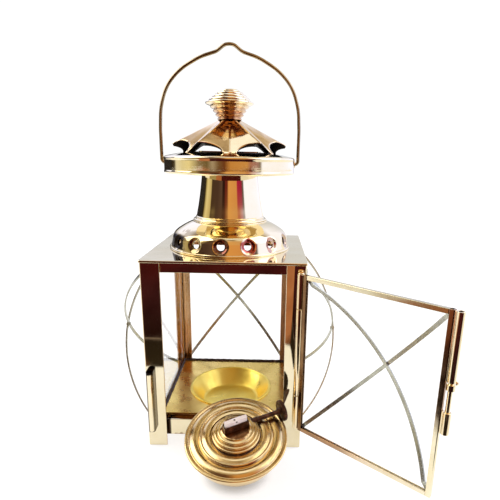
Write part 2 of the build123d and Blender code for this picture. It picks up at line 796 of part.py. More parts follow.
for name, (z0, z1) in (("latch_tube_upper", UPPER_TUBE_Z), ("latch_tube_lower", LOWER_TUBE_Z)):
    with BuildPart() as tube:
        with BuildSketch(Plane(origin=door_at(LATCH_U, z0, 0), x_dir=door_dir, z_dir=(0, 0, 1))):
            Circle(TUBE_R)
            with Locations(((STILE_OUT - LATCH_U - 1.6) / 2, 0)):
                Rectangle(LATCH_U - STILE_OUT - 1.6, 2.4)
            Circle(LATCH_R + LATCH_GAP, mode=Mode.SUBTRACT)
        extrude(amount=z1 - z0)
    out(tube, name)

# ---------------------------------------------------------------- latch bolt, drawn up
with BuildPart() as latch_rod:
    with BuildSketch(Plane(origin=door_at(LATCH_U, ROD_Z[0], 0), z_dir=(0, 0, 1))):
        Circle(LATCH_R)
    extrude(amount=ROD_Z[1] - ROD_Z[0])
    chamfer(latch_rod.faces().sort_by(Axis.Z)[0].edges(), length=0.5)
out(latch_rod, "latch_rod")

# a ring on the rod with a small ball on the outer side of the door
with BuildPart() as latch_knob:
    with BuildSketch(Plane(origin=door_at(LATCH_U, KNOB_Z - 1.5, 0), z_dir=(0, 0, 1))):
        Circle(2.2)
        Circle(LATCH_R, mode=Mode.SUBTRACT)
    extrude(amount=3.0)
    with BuildSketch(Plane(origin=door_at(LATCH_U, KNOB_Z, -1.8), z_dir=door_outward)):
        Circle(0.8)
    extrude(amount=3.4)
    with BuildSketch(
        Plane(origin=door_at(LATCH_U, KNOB_Z, -6.0), x_dir=door_outward, z_dir=(0, 0, 1))
    ):
        with BuildLine():
            CenterArc((0, 0), 1.7, 0, 180)
            Line((-1.7, 0), (1.7, 0))
        make_face()
    revolve(axis=Axis(door_at(LATCH_U, KNOB_Z, -6.0), door_outward))
out(latch_knob, "latch_knob")

# ---------------------------------------------------------------- oil lamp, leaning on the sill
tilt = math.radians(LAMP_TILT)
lamp_up = Vector(0, -math.sin(tilt), math.cos(tilt))
lamp_back = Vector(0, math.cos(tilt), math.sin(tilt))
lamp_o = Vector(*LAMP_AT)
lamp_axis = Axis(lamp_o, lamp_up)
lamp_section = Plane(origin=lamp_o, x_dir=(1, 0, 0), z_dir=lamp_back * -1)
az = math.radians(WINDER_AZ)
wind_dir = Vector(1, 0, 0) * math.cos(az) + lamp_back * math.sin(az)
wick_normal = Vector(1, 0, 0) * -math.sin(az) + lamp_back * math.cos(az)


def lamp_at(h, e=0.0, p=0.0):
    """A point on the lamp: up its axis, along the winder, and across the wick."""
    return lamp_o + lamp_up * h + wind_dir * e + wick_normal * p


with BuildPart() as font_bowl:
    with BuildSketch(lamp_section):
        with BuildLine():
            Polyline((0, FOOT_H + 0.9), (15.6, FOOT_H + 0.9), (16.2, FOOT_H), (17.5, FOOT_H), (18.2, FOOT_H + 0.6))
            Spline(
                (18.2, FOOT_H + 0.6),
                (23.8, -13.7),
                (27.4, -7.4),
                (29.2, -0.9),
                tangents=((0.72, 0.7), (0.12, 1)),
            )
            Polyline((29.2, -0.9), (30.4, -0.9), (30.4, -0.1), (28.3, -0.1), (28.3, -0.9))
            Spline(
                (28.3, -0.9),
                (26.5, -7.1),
                (23.0, -13.2),
                (17.6, FOOT_H + 1.7),
                tangents=((-0.12, -1), (-0.72, -0.7)),
            )
            Polyline((17.6, FOOT_H + 1.7), (0, FOOT_H + 1.7), (0, FOOT_H + 0.9))
        make_face()
    revolve(axis=lamp_axis)
out(font_bowl, "font_bowl")

with BuildPart() as font_dome:
    with BuildSketch(lamp_section):
        with BuildLine():
            Polyline(
                (28.2, -0.1), (RIM_R, -0.1), (RIM_R, 0.4), (30.5, 0.8), (29.0, 0.8), (28.6, 0.45), (28.2, 0.45), (27.7, 0.9)
            )
            Spline(
                (27.7, 0.9),
                (25.6, 1.75),
                (24.0, 1.75),
                (22.7, 1.3),
                tangents=((-0.85, 0.5), (-0.9, -0.45)),
            )
            Polyline((22.7, 1.3), (22.1, 1.5), (21.7, 2.2), (21.2, 2.8), (20.5, 3.0))
            Spline((20.5, 3.0), (18.4, 2.5), (16.4, 2.6), tangents=((-1, -0.1), (-1, 0.15)))
            Polyline((16.4, 2.6), (15.7, 2.4), (15.4, 1.5), (12.6, 1.5), (12.6, 0.7), (15.8, 0.7), (16.3, 1.7))
            Spline((16.3, 1.7), (18.4, 1.65), (20.4, 2.1), tangents=((1, -0.15), (1, 0.1)))
            Polyline((20.4, 2.1), (20.9, 1.7), (21.6, 0.8), (22.7, 0.4))
            Spline(
                (22.7, 0.4),
                (24.0, 0.85),
                (25.4, 0.85),
                (28.2, -0.1),
                tangents=((0.9, 0.45), (0.85, -0.5)),
            )
        make_face()
    revolve(axis=lamp_axis)
out(font_dome, "font_dome")

with BuildPart() as font_collar:
    with BuildSketch(lamp_section):
        with BuildLine():
            Polyline(
                (12.0, 1.5), (14.8, 1.5), (14.8, 1.9), (14.5, 2.2), (12.0, 2.2), close=True
            )
        make_face()
    revolve(axis=lamp_axis)
out(font_collar, "font_collar")

with BuildPart() as burner_cap:
    with BuildSketch(lamp_section):
        with BuildLine():
            Polyline(
                (11.9, 2.2),
                (13.9, 2.2),
                (14.4, 2.6),
                (14.4, 3.1),
                (14.0, 3.6),
                (12.8, 3.8),
                (13.1, 4.2),
                (13.1, 4.9),
                (12.7, 5.4),
                (11.0, 5.6),
                (11.2, 6.0),
                (11.2, 6.6),
                (10.8, 7.1),
                (9.3, 7.3),
                (8.9, 7.7),
                (8.4, 7.9),
                (0, 7.9),
                (0, 7.1),
                (8.1, 7.1),
                (8.5, 6.7),
                (10.1, 6.4),
                (10.1, 4.9),
                (11.9, 4.7),
                close=True,
            )
        make_face()
    revolve(axis=lamp_axis)
    # slot for the wick tube, a bore for the winder and the gland round it
    with BuildSketch(Plane(origin=lamp_at(6.2), x_dir=wind_dir, z_dir=lamp_up)):
        Rectangle(15.4, 4.3)
    extrude(amount=4, mode=Mode.SUBTRACT)
    with BuildSketch(Plane(origin=lamp_at(WINDER_H, 10.9, WINDER_OFF), z_dir=wind_dir)):
        Circle(1.75)
    extrude(amount=4.7)
    with BuildSketch(Plane(origin=lamp_at(WINDER_H, 4.0, WINDER_OFF), z_dir=wind_dir)):
        Circle(SPINDLE_R + 0.06)
    extrude(amount=20, mode=Mode.SUBTRACT)
out(burner_cap, "burner_cap")

with BuildPart() as wick_tube:
    with BuildSketch(Plane(origin=lamp_at(-3.5), x_dir=wind_dir, z_dir=lamp_up)):
        Rectangle(15.3, 4.2)
        Rectangle(14.3, 3.1, mode=Mode.SUBTRACT)
    extrude(amount=TUBE_TOP + 3.5)
    for e in (-4.2, 4.2):
        with BuildSketch(Plane(origin=lamp_at(WINDER_H, e, 1.0), x_dir=wind_dir, z_dir=wick_normal)):
            Rectangle(2.4, 4.2)
        extrude(amount=3, mode=Mode.SUBTRACT)
out(wick_tube, "wick_tube")

with BuildPart() as wick:
    with BuildSketch(Plane(origin=lamp_at(-13.0), x_dir=wind_dir, z_dir=lamp_up)):
        Rectangle(WICK_W, WICK_T)
    extrude(amount=WICK_TOP + 13.0)
    fillet(wick.edges().filter_by(lambda e: abs(e.tangent_at(0.5).dot(lamp_up)) > 0.9), radius=0.7)
out(wick, "wick")

with BuildPart() as winder_spindle:
    with BuildSketch(Plane(origin=lamp_at(WINDER_H, -7.2, WINDER_OFF), z_dir=wind_dir)):
        Circle(SPINDLE_R)
    extrude(amount=40.4)
    with BuildSketch(Plane(origin=lamp_at(WINDER_H, 15.9, WINDER_OFF), z_dir=wind_dir)):
        Circle(SHAFT_R)
    extrude(amount=13.0)
    for e in (-4.2, 4.2):
        with BuildSketch(
            Plane(origin=lamp_at(WINDER_H, e - 0.7, WINDER_OFF), x_dir=wick_normal, z_dir=wind_dir)
        ):
            Circle(WHEEL_R - 0.55)
            with PolarLocations(WHEEL_R - 0.6, 8):
                Rectangle(1.2, 0.8)
        extrude(amount=1.4)
out(winder_spindle, "winder_spindle")

KNOB_E = 31.0
with BuildPart() as winder_knob:
    with BuildSketch(
        Plane(origin=lamp_at(WINDER_H, KNOB_E, WINDER_OFF), x_dir=wick_normal, z_dir=wind_dir)
    ):
        Circle(6.6)
        with PolarLocations(6.9, 24):
            Circle(0.42, mode=Mode.SUBTRACT)
        Circle(SPINDLE_R, mode=Mode.SUBTRACT)
    extrude(amount=2.2)
    with BuildSketch(Plane(origin=lamp_at(WINDER_H, KNOB_E - 2.0, WINDER_OFF), z_dir=wind_dir)):
        Circle(2.0)
        Circle(SPINDLE_R, mode=Mode.SUBTRACT)
    extrude(amount=2.1)
out(winder_knob, "winder_knob")
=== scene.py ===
"""Looks of the portable brass oil lantern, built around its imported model. Metres, same frame as the model."""

import json
import math

import bmesh
import bpy
from mathutils import Matrix, Vector

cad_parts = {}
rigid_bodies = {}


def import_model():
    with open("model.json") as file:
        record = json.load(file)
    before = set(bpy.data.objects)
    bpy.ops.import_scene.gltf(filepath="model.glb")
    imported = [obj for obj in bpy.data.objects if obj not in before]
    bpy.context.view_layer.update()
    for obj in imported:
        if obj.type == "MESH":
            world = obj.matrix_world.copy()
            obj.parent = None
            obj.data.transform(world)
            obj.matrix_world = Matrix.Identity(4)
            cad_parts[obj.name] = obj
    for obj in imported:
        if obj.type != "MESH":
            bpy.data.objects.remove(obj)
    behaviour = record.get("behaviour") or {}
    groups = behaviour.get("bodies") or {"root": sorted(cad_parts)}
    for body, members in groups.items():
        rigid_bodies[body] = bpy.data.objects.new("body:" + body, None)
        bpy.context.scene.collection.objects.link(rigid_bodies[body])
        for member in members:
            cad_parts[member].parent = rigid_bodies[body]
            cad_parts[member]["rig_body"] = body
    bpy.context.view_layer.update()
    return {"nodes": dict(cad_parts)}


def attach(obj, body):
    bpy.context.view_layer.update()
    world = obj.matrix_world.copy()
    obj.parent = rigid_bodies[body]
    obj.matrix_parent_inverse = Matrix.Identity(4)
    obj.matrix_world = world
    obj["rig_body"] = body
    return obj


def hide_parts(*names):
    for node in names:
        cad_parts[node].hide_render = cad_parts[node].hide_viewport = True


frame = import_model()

MM = 0.001
scene = bpy.context.scene


# ------------------------------------------------------------------ small geometry helpers
def soften(pts, rad, n=4, closed=True):
    """Round the corners of a polyline of (r, z) points; rad is one radius or one for each corner."""
    out = []
    count = len(pts)
    for i, p in enumerate(pts):
        r = rad[i] if isinstance(rad, (list, tuple)) else rad
        if (not closed and i in (0, count - 1)) or r <= 0:
            out.append(p)
            continue
        a, b = Vector(pts[i - 1]), Vector(pts[(i + 1) % count])
        c = Vector(p)
        da, db = (a - c), (b - c)
        la, lb = da.length, db.length
        if la < 1e-6 or lb < 1e-6:
            out.append(p)
            continue
        k = min(r, 0.48 * la, 0.48 * lb)
        s, e = c + da * (k / la), c + db * (k / lb)
        for j in range(n + 1):
            t = j / n
            q = s * (1 - t) ** 2 + c * 2 * t * (1 - t) + e * t * t
            out.append((q.x, q.y))
    return out


def flow(pts, n=8):
    """A smooth curve through the points (centripetal Catmull-Rom)."""
    P = [Vector(p) for p in pts]
    P = [P[0] * 2 - P[1]] + P + [P[-1] * 2 - P[-2]]
    out = []
    for i in range(1, len(P) - 2):
        p0, p1, p2, p3 = P[i - 1], P[i], P[i + 1], P[i + 2]
        t0 = 0.0
        t1 = t0 + max((p1 - p0).length, 1e-6) ** 0.5
        t2 = t1 + max((p2 - p1).length, 1e-6) ** 0.5
        t3 = t2 + max((p3 - p2).length, 1e-6) ** 0.5
        for j in range(n):
            t = t1 + (t2 - t1) * j / n
            a1 = p0 * ((t1 - t) / (t1 - t0)) + p1 * ((t - t0) / (t1 - t0))
            a2 = p1 * ((t2 - t) / (t2 - t1)) + p2 * ((t - t1) / (t2 - t1))
            a3 = p2 * ((t3 - t) / (t3 - t2)) + p3 * ((t - t2) / (t3 - t2))
            b1 = a1 * ((t2 - t) / (t2 - t0)) + a2 * ((t - t0) / (t2 - t0))
            b2 = a2 * ((t3 - t) / (t3 - t1)) + a3 * ((t - t1) / (t3 - t1))
            out.append(tuple(b1 * ((t2 - t) / (t2 - t1)) + b2 * ((t - t1) / (t2 - t1))))
    out.append(tuple(P[-2]))
    return out


def make(name, verts, faces, mat, body, node=None, smooth=35.0):
    """A new piece from vertices in metres, riding on a body and standing for a node."""
    me = bpy.data.meshes.new(name)
    me.from_pydata(verts, [], faces)
    me.validate()
    bm = bmesh.new()
    bm.from_mesh(me)
    bmesh.ops.recalc_face_normals(bm, faces=bm.faces)
    bm.to_mesh(me)
    bm.free()
    return place(name, me, mat, body, node, smooth)


def place(name, me, mat, body, node=None, smooth=35.0):
    me.polygons.foreach_set("use_smooth", [True] * len(me.polygons))
    if smooth:
        me.set_sharp_from_angle(angle=math.radians(smooth))
    ob = bpy.data.objects.new(name, me)
    scene.collection.objects.link(ob)
    me.materials.clear()
    me.materials.append(mat)
    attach(ob, body)
    if node:
        for one in node if isinstance(node, (list, tuple)) else [node]:
            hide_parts(one)
    return ob


def support(prof, edge=0.3, step=2.0, closed=True):
    """Extra rows close to the ends of long straight runs, so that shading stays flat between the bends."""
    out = []
    count = len(prof)
    for i, p in enumerate(prof):
        out.append(p)
        if not closed and i == count - 1:
            break
        q = prof[(i + 1) % count]
        a, b = Vector(p), Vector(q)
        d = (b - a).length
        if d < 4 * edge:
            continue
        cuts = [edge] + [edge + (d - 2 * edge) * k / max(1, int(d / step)) for k in range(1, max(1, int(d / step)))] + [d - edge]
        out += [tuple(a.lerp(b, c / d)) for c in cuts]
    return out


def lathe_data(prof, n=192, origin=(0, 0, 0), up=(0, 0, 1), shift=None):
    """Vertices (metres) and faces of a closed profile of (r, z) mm turned about an axis.
    shift(r, z, angle) gives a radial change in mm."""
    up = Vector(up).normalized()
    ex = Vector((1, 0, 0))
    ex = (ex - up * ex.dot(up)).normalized()
    ey = up.cross(ex)
    o = Vector(origin)
    prof = support(prof)
    verts, rows = [], []
    for r, z in prof:
        if r < 1e-4:
            verts.append(tuple((o + up * z) * MM))
            rows.append([len(verts) - 1])
            continue
        row = []
        for k in range(n):
            a = 2 * math.pi * k / n
            rr = r + (shift(r, z, a) if shift else 0.0)
            p = o + ex * (rr * math.cos(a)) + ey * (rr * math.sin(a)) + up * z
            verts.append(tuple(p * MM))
            row.append(len(verts) - 1)
        rows.append(row)
    faces = []
    for i in range(len(rows)):
        a, b = rows[i], rows[(i + 1) % len(rows)]
        if len(a) == 1 and len(b) == 1:
            continue
        for k in range(n):
            k2 = (k + 1) % n
            if len(a) == 1:
                faces.append((a[0], b[k2], b[k]))
            elif len(b) == 1:
                faces.append((a[k], a[k2], b[0]))
            else:
                faces.append((a[k], a[k2], b[k2], b[k]))
    return verts, faces


def drill(ob, centres, radius, length):
    """Cut round holes: centres is a list of (point mm, direction)."""
    cv, cf = [], []
    for p, d in centres:
        d = Vector(d).normalized()
        ex = d.orthogonal().normalized()
        ey = d.cross(ex)
        base = len(cv)
        m = 48
        for h in (0.0, length):
            for k in range(m):
                a = 2 * math.pi * k / m
                cv.append(tuple((Vector(p) + d * h + ex * radius * math.cos(a) + ey * radius * math.sin(a)) * MM))
        cf.append(tuple(base + k for k in reversed(range(m))))
        cf.append(tuple(base + m + k for k in range(m)))
        for k in range(m):
            k2 = (k + 1) % m
            cf.append((base + k, base + k2, base + m + k2, base + m + k))
    me = bpy.data.meshes.new("cutter")
    me.from_pydata(cv, [], cf)
    tool = bpy.data.objects.new("cutter", me)
    scene.collection.objects.link(tool)
    mod = ob.modifiers.new("holes", "BOOLEAN")
    mod.operation = "DIFFERENCE"
    mod.solver = "EXACT"
    mod.object = tool
    bpy.context.view_layer.update()
    done = bpy.data.meshes.new_from_object(ob.evaluated_get(bpy.context.evaluated_depsgraph_get()))
    old = ob.data
    ob.modifiers.clear()
    ob.data = done
    bpy.data.objects.remove(tool)
    bpy.data.meshes.remove(me)
    bpy.data.meshes.remove(old)
    done.polygons.foreach_set("use_smooth", [True] * len(done.polygons))
    done.set_sharp_from_angle(angle=math.radians(38))
    return ob


def refine(node, mat, bevel=0.2, segs=2, angle=30.0, body=None, name=None):
    """A piece with eased edges for a node whose outline is right: faces joined, sharp edges rounded."""
    src = frame["nodes"][node]
    bm = bmesh.new()
    bm.from_mesh(src.data)
    bmesh.ops.remove_doubles(bm, verts=bm.verts, dist=2e-6)
    bmesh.ops.dissolve_limit(bm, angle_limit=math.radians(0.4), verts=bm.verts, edges=bm.edges)
    sharp = [e for e in bm.edges if len(e.link_faces) == 2 and e.calc_face_angle(0.0) > math.radians(angle)]
    if bevel > 0 and sharp:
        bmesh.ops.bevel(bm, geom=sharp, offset=bevel * MM, offset_type="OFFSET", segments=segs, profile=0.5,
                        affect="EDGES", clamp_overlap=True)
    bmesh.ops.recalc_face_normals(bm, faces=bm.faces)
    me = bpy.data.meshes.new((name or node) + "_fine")
    bm.to_mesh(me)
    bm.free()
    ob = place((name or node) + "_fine", me, mat, body or src["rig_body"], node, smooth=50.0)
    weigh = ob.modifiers.new("weighted", "WEIGHTED_NORMAL")
    weigh.keep_sharp = True
    weigh.weight = 60
    return ob


# ------------------------------------------------------------------ node helpers for materials
def new_mat(name):
    m = bpy.data.materials.new(name)
    m.use_nodes = True
    t = m.node_tree
    p = t.nodes["Principled BSDF"]
    return m, t, p


def put(t, kind, **inputs):
    n = t.nodes.new(kind)
    for k, v in inputs.items():
        n.inputs[k.replace("_", " ")].default_value = v
    return n


def noise(t, vec, scale, detail=3.0, rough=0.5, stretch=None, distortion=0.0):
    if stretch:
        mp = t.nodes.new("ShaderNodeMapping")
        mp.inputs["Scale"].default_value = stretch
        t.links.new(vec, mp.inputs["Vector"])
        vec = mp.outputs["Vector"]
    n = t.nodes.new("ShaderNodeTexNoise")
    n.inputs["Scale"].default_value = scale
    n.inputs["Detail"].default_value = detail
    n.inputs["Roughness"].default_value = rough
    n.inputs["Distortion"].default_value = distortion
    t.links.new(vec, n.inputs["Vector"])
    return n.outputs["Fac"]


def ranged(t, value, lo, hi, a=0.0, b=1.0, smooth=False):
    n = t.nodes.new("ShaderNodeMapRange")
    n.interpolation_type = "SMOOTHSTEP" if smooth else "LINEAR"
    n.inputs["From Min"].default_value = a
    n.inputs["From Max"].default_value = b
    n.inputs["To Min"].default_value = lo
    n.inputs["To Max"].default_value = hi
    t.links.new(value, n.inputs["Value"])
    return n.outputs["Result"]


def blend_colour(t, fac, c1, c2):
    n = t.nodes.new("ShaderNodeMix")
    n.data_type = "RGBA"
    n.inputs["Factor"].default_value = 0.5
    t.links.new(fac, n.inputs["Factor"])
    for sock, c in (("A", c1), ("B", c2)):
        s = [i for i in n.inputs if i.name == sock and i.type == "RGBA"][0]
        if isinstance(c, (tuple, list)):
            s.default_value = (*c, 1.0) if len(c) == 3 else c
        else:
            t.links.new(c, s)
    return [o for o in n.outputs if o.type == "RGBA"][0]


def maths(t, op, a, b=None, c=None):
    n = t.nodes.new("ShaderNodeMath")
    n.operation = op
    for i, v in enumerate((a, b, c)):
        if v is None:
            continue
        if isinstance(v, (int, float)):
            n.inputs[i].default_value = v
        else:
            t.links.new(v, n.inputs[i])
    return n.outputs[0]


def bump(t, height, distance, strength=1.0, under=None):
    n = t.nodes.new("ShaderNodeBump")
    n.inputs["Strength"].default_value = strength
    n.inputs["Distance"].default_value = distance
    t.links.new(height, n.inputs["Height"])
    if under is not None:
        t.links.new(under, n.inputs["Normal"])
    return n.outputs["Normal"]


def ramp(t, value, stops, mode="LINEAR"):
    n = t.nodes.new("ShaderNodeValToRGB")
    n.color_ramp.interpolation = mode
    el = n.color_ramp.elements
    while len(el) > 1:
        el.remove(el[0])
    el[0].position = stops[0][0]
    el[0].color = (*stops[0][1], 1.0)
    for pos, col in stops[1:]:
        e = el.new(pos)
        e.color = (*col, 1.0)
    t.links.new(value, n.inputs["Fac"])
    return n.outputs["Color"]


def brass(name, light, deep, rough, wave=0.00008, wave_scale=30.0, hair=0.000004, hair_stretch=(60, 60, 900),
          spots=0.15, inner=None, inner_rough=0.3, under_black=False, rings=None, heat=None, roll=None, vent_reflections=None, height_tint=None, reach=None, inner_metal=1.0):
    """Brass sheet: slow waviness from the hammer and the polishing wheel, hairline marks, faint tarnish.
    inner is the colour of faces that look at the middle of the case, a painted reflection; rings = (origin, axis,
    pitch, depth);
    heat is the radius of the heat tint round that axis; roll = (x, slope) turns a flange in towards -X;
    vent_reflections are ramp stops along X for a painted reflection of the room round the vents of the collar wall;
    height_tint = (z strongest, z gone, tint) is a tint that fades with height; reach = (x, y, from, to, tint, deep
    tint) fades from the tints near an upright line to the brass; under_black paints faces that point down near-black."""
    m, t, p = new_mat(name)
    tc = t.nodes.new("ShaderNodeTexCoord")
    obj = tc.outputs["Object"]
    tone = noise(t, obj, 45.0, 4.0, 0.6)
    stain = noise(t, obj, 140.0, 5.0, 0.65, distortion=0.6)
    stain = ranged(t, stain, 0.0, spots, 0.55, 0.8, True)
    tone = maths(t, "ADD", ranged(t, tone, 0.0, 0.8, 0.35, 0.7), stain)
    colour = blend_colour(t, tone, light, deep)
    hairs = noise(t, obj, 1.0, 3.0, 0.6, stretch=hair_stretch)
    smear = noise(t, obj, 70.0, 3.0, 0.55)
    rgh = maths(t, "ADD", ranged(t, smear, rough * 0.6, rough * 1.7, 0.3, 0.75), ranged(t, stain, 0.0, 0.25))
    slow = noise(t, obj, wave_scale, 1.5, 0.4)
    nrm = bump(t, slow, wave)
    nrm = bump(t, hairs, hair, under=nrm)
    if rings:
        o, axis, pitch, depth = rings
        axis = Vector(axis).normalized()
        sub = t.nodes.new("ShaderNodeVectorMath")
        sub.operation = "SUBTRACT"
        sub.inputs[1].default_value = tuple(Vector(o))
        t.links.new(obj, sub.inputs[0])
        crs = t.nodes.new("ShaderNodeVectorMath")
        crs.operation = "CROSS_PRODUCT"
        crs.inputs[1].default_value = tuple(axis)
        t.links.new(sub.outputs[0], crs.inputs[0])
        ln = t.nodes.new("ShaderNodeVectorMath")
        ln.operation = "LENGTH"
        t.links.new(crs.outputs[0], ln.inputs[0])
        ph = maths(t, "MULTIPLY", ln.outputs["Value"], 2 * math.pi / pitch)
        comb = t.nodes.new("ShaderNodeCombineXYZ")
        t.links.new(maths(t, "MULTIPLY", ln.outputs["Value"], 1.0), comb.inputs[0])
        groove = noise(t, comb.outputs[0], 1.0 / pitch, 4.0, 0.7)
        wavy = maths(t, "ADD", maths(t, "MULTIPLY", maths(t, "SINE", ph), 0.25), groove)
        nrm = bump(t, wavy, depth, under=nrm)
        if heat:
            burnt = noise(t, obj, 420.0, 4.0, 0.6)
            edge = maths(t, "ADD", ln.outputs["Value"], ranged(t, burnt, -0.0012, 0.0012, 0.3, 0.7))
            warm = ranged(t, edge, 0.85, 0.0, heat * 0.86, heat, True)
            colour = blend_colour(t, warm, colour, (0.23, 0.085, 0.028))
    if roll:
        rv = t.nodes.new("ShaderNodeSeparateXYZ")
        t.links.new(obj, rv.inputs[0])
        off = maths(t, "SMOOTH_MAX", maths(t, "SUBTRACT", roll[0], rv.outputs[0]), 0.0, 0.0024)
        off = maths(t, "MULTIPLY", off, ranged(t, rv.outputs[2], 0.0, -roll[1], 0.034, 0.060, True))
        nrm = bump(t, off, 1.0, under=nrm)
    # painted reflection: dark, crimson and pale rings round the vents set by X, plus a black low-gloss patch and a
    # greenish patch on the collar's front left
    if vent_reflections:
        dv = t.nodes.new("ShaderNodeSeparateXYZ")
        t.links.new(obj, dv.inputs[0])
        step = 2 * math.pi / len(VENTS)
        round_az = maths(t, "ARCTAN2", dv.outputs[1], dv.outputs[0])
        share = maths(t, "WRAP", maths(t, "SUBTRACT", round_az, VENTS[0]), step / 2, -step / 2)
        arc_d = maths(t, "MULTIPLY", share, 0.0395)
        rise = maths(t, "SUBTRACT", dv.outputs[2], 0.1324)
        span = maths(t, "SQRT", maths(t, "ADD", maths(t, "MULTIPLY", arc_d, arc_d), maths(t, "MULTIPLY", rise, rise)))
        blot = noise(t, obj, 190.0, 3.0, 0.6)
        span = maths(t, "ADD", span, ranged(t, blot, -0.0011, 0.0011, 0.3, 0.7))
        tint = ramp(t, ranged(t, dv.outputs[0], 0.0, 1.0, -0.04, 0.04), vent_reflections)
        ring = ranged(t, span, 0.93, 0.0, 0.0040, 0.0053, True)
        ragged = maths(t, "ADD", dv.outputs[0], ranged(t, blot, -0.004, 0.004, 0.3, 0.7))
        left_black_reflection = maths(t, "MULTIPLY", ranged(t, ragged, 1.0, 0.0, -0.0270, -0.0255, True), ranged(t, dv.outputs[2], 1.0, 0.0, 0.1360, 0.1380, True))
        left_black_reflection = maths(t, "MULTIPLY", left_black_reflection, ranged(t, dv.outputs[2], 0.0, 1.0, 0.1278, 0.1284, True))
        left_black_reflection = maths(t, "MULTIPLY", left_black_reflection, ranged(t, dv.outputs[1], 1.0, 0.0, -0.006, -0.002, True))
        olive = maths(t, "MULTIPLY", ranged(t, ragged, 0.85, 0.0, -0.0155, -0.0125, True), ranged(t, ragged, 0.0, 1.0, -0.0290, -0.0270, True))
        brow = maths(t, "ADD", dv.outputs[2], ranged(t, blot, -0.0006, 0.0006, 0.3, 0.7))
        olive = maths(t, "MULTIPLY", olive, ranged(t, brow, 1.0, 0.0, 0.1394, 0.1406, True))
        olive = maths(t, "MULTIPLY", olive, ranged(t, dv.outputs[1], 1.0, 0.0, -0.006, -0.002, True))
        colour = blend_colour(t, olive, colour, (0.45, 0.35, 0.19))
        colour = blend_colour(t, maths(t, "MAXIMUM", ring, left_black_reflection), colour, tint)
        t.links.new(ranged(t, left_black_reflection, 0.5, 0.05), p.inputs["Specular IOR Level"])
        mixr = t.nodes.new("ShaderNodeMix")
        mixr.data_type = "FLOAT"
        t.links.new(left_black_reflection, mixr.inputs["Factor"])
        t.links.new(rgh, mixr.inputs[2])
        mixr.inputs[3].default_value = 0.32
        rgh = mixr.outputs[0]
        t.links.new(ranged(t, left_black_reflection, 1.0, 0.15), p.inputs["Metallic"])
    # height_tint fades its tint in by height: a painted reflection on the free stile's upper part, painted shade on the
    # finial's lower part, and the front sill darker towards the bottom
    if height_tint:
        sv = t.nodes.new("ShaderNodeSeparateXYZ")
        t.links.new(obj, sv.inputs[0])
        patch = noise(t, obj, 160.0, 3.0, 0.6)
        level = maths(t, "ADD", sv.outputs[2], ranged(t, patch, -0.0015, 0.0015, 0.3, 0.7))
        colour = blend_colour(t, ranged(t, level, 0.9, 0.0, height_tint[0], height_tint[1], True), colour, height_tint[2])
    # reach fades from its tints close to an upright line to the brass: painted shade at the front sill's left end,
    # painted reflections on the door rails by the hinge
    if reach:
        away = t.nodes.new("ShaderNodeVectorMath")
        away.operation = "DISTANCE"
        flat = t.nodes.new("ShaderNodeVectorMath")
        flat.operation = "MULTIPLY"
        flat.inputs[1].default_value = (1.0, 1.0, 0.0)
        t.links.new(obj, flat.inputs[0])
        t.links.new(flat.outputs[0], away.inputs[0])
        away.inputs[1].default_value = (reach[0], reach[1], 0.0)
        colour = blend_colour(t, ranged(t, away.outputs["Value"], 0.0, 1.0, reach[2], reach[3], True),
                              blend_colour(t, tone, reach[4], reach[5]), colour)
    if inner or under_black:
        nv = t.nodes.new("ShaderNodeSeparateXYZ")
        t.links.new(tc.outputs["Normal"], nv.inputs[0])
    # painted reflection: faces that look at the middle of the case take the inner colour with darker streaks, and their
    # own roughness and metallic
    if inner:
        pv = t.nodes.new("ShaderNodeSeparateXYZ")
        t.links.new(obj, pv.inputs[0])
        facing = maths(t, "ADD", maths(t, "MULTIPLY", nv.outputs[0], pv.outputs[0]),
                       maths(t, "MULTIPLY", nv.outputs[1], pv.outputs[1]))
        mask = maths(t, "LESS_THAN", facing, -0.004)
        streak = noise(t, obj, 1.0, 4.0, 0.6, stretch=(90, 90, 14))
        inner_reflection = blend_colour(t, ranged(t, streak, 0, 1, 0.35, 0.65), inner, tuple(0.62 * c for c in inner))
        colour = blend_colour(t, mask, colour, inner_reflection)
        mixr = t.nodes.new("ShaderNodeMix")
        mixr.data_type = "FLOAT"
        t.links.new(mask, mixr.inputs["Factor"])
        t.links.new(rgh, mixr.inputs[2])
        t.links.new(ranged(t, streak, inner_rough * 0.8, inner_rough * 1.3, 0.3, 0.7), mixr.inputs[3])
        rgh = mixr.outputs[0]
        t.links.new(ranged(t, mask, 1.0, inner_metal), p.inputs["Metallic"])
    # faces that point down are painted near-black, with a mottle and higher roughness
    if under_black:
        down = maths(t, "LESS_THAN", nv.outputs[2], -0.05)
        underside_mottle = noise(t, obj, 160.0, 4.0, 0.6)
        black = blend_colour(t, underside_mottle, (0.012, 0.010, 0.010), (0.035, 0.026, 0.024))
        colour = blend_colour(t, down, colour, black)
        mixr = t.nodes.new("ShaderNodeMix")
        mixr.data_type = "FLOAT"
        t.links.new(down, mixr.inputs["Factor"])
        t.links.new(rgh, mixr.inputs[2])
        t.links.new(ranged(t, underside_mottle, 0.5, 0.75), mixr.inputs[3])
        rgh = mixr.outputs[0]
    p.inputs["Metallic"].default_value = 1.0
    t.links.new(colour, p.inputs["Base Color"])
    t.links.new(rgh, p.inputs["Roughness"])
    t.links.new(nrm, p.inputs["Normal"])
    return m


VENTS = [math.radians(-93.9 + 360.0 * k / 14) for k in range(14)]
LAMP_O = Vector((9.64, -73.4, 23.4))
TILT = math.radians(16.6)
LAMP_UP = Vector((0, -math.sin(TILT), math.cos(TILT)))
LAMP_BACK = Vector((0, math.cos(TILT), math.sin(TILT)))
AZ = math.radians(26.0)
WIND = Vector((1, 0, 0)) * math.cos(AZ) + LAMP_BACK * math.sin(AZ)
WICK_N = Vector((1, 0, 0)) * -math.sin(AZ) + LAMP_BACK * math.cos(AZ)


def lamp_at(h, e=0.0, p=0.0):
    return LAMP_O + LAMP_UP * h + WIND * e + WICK_N * p


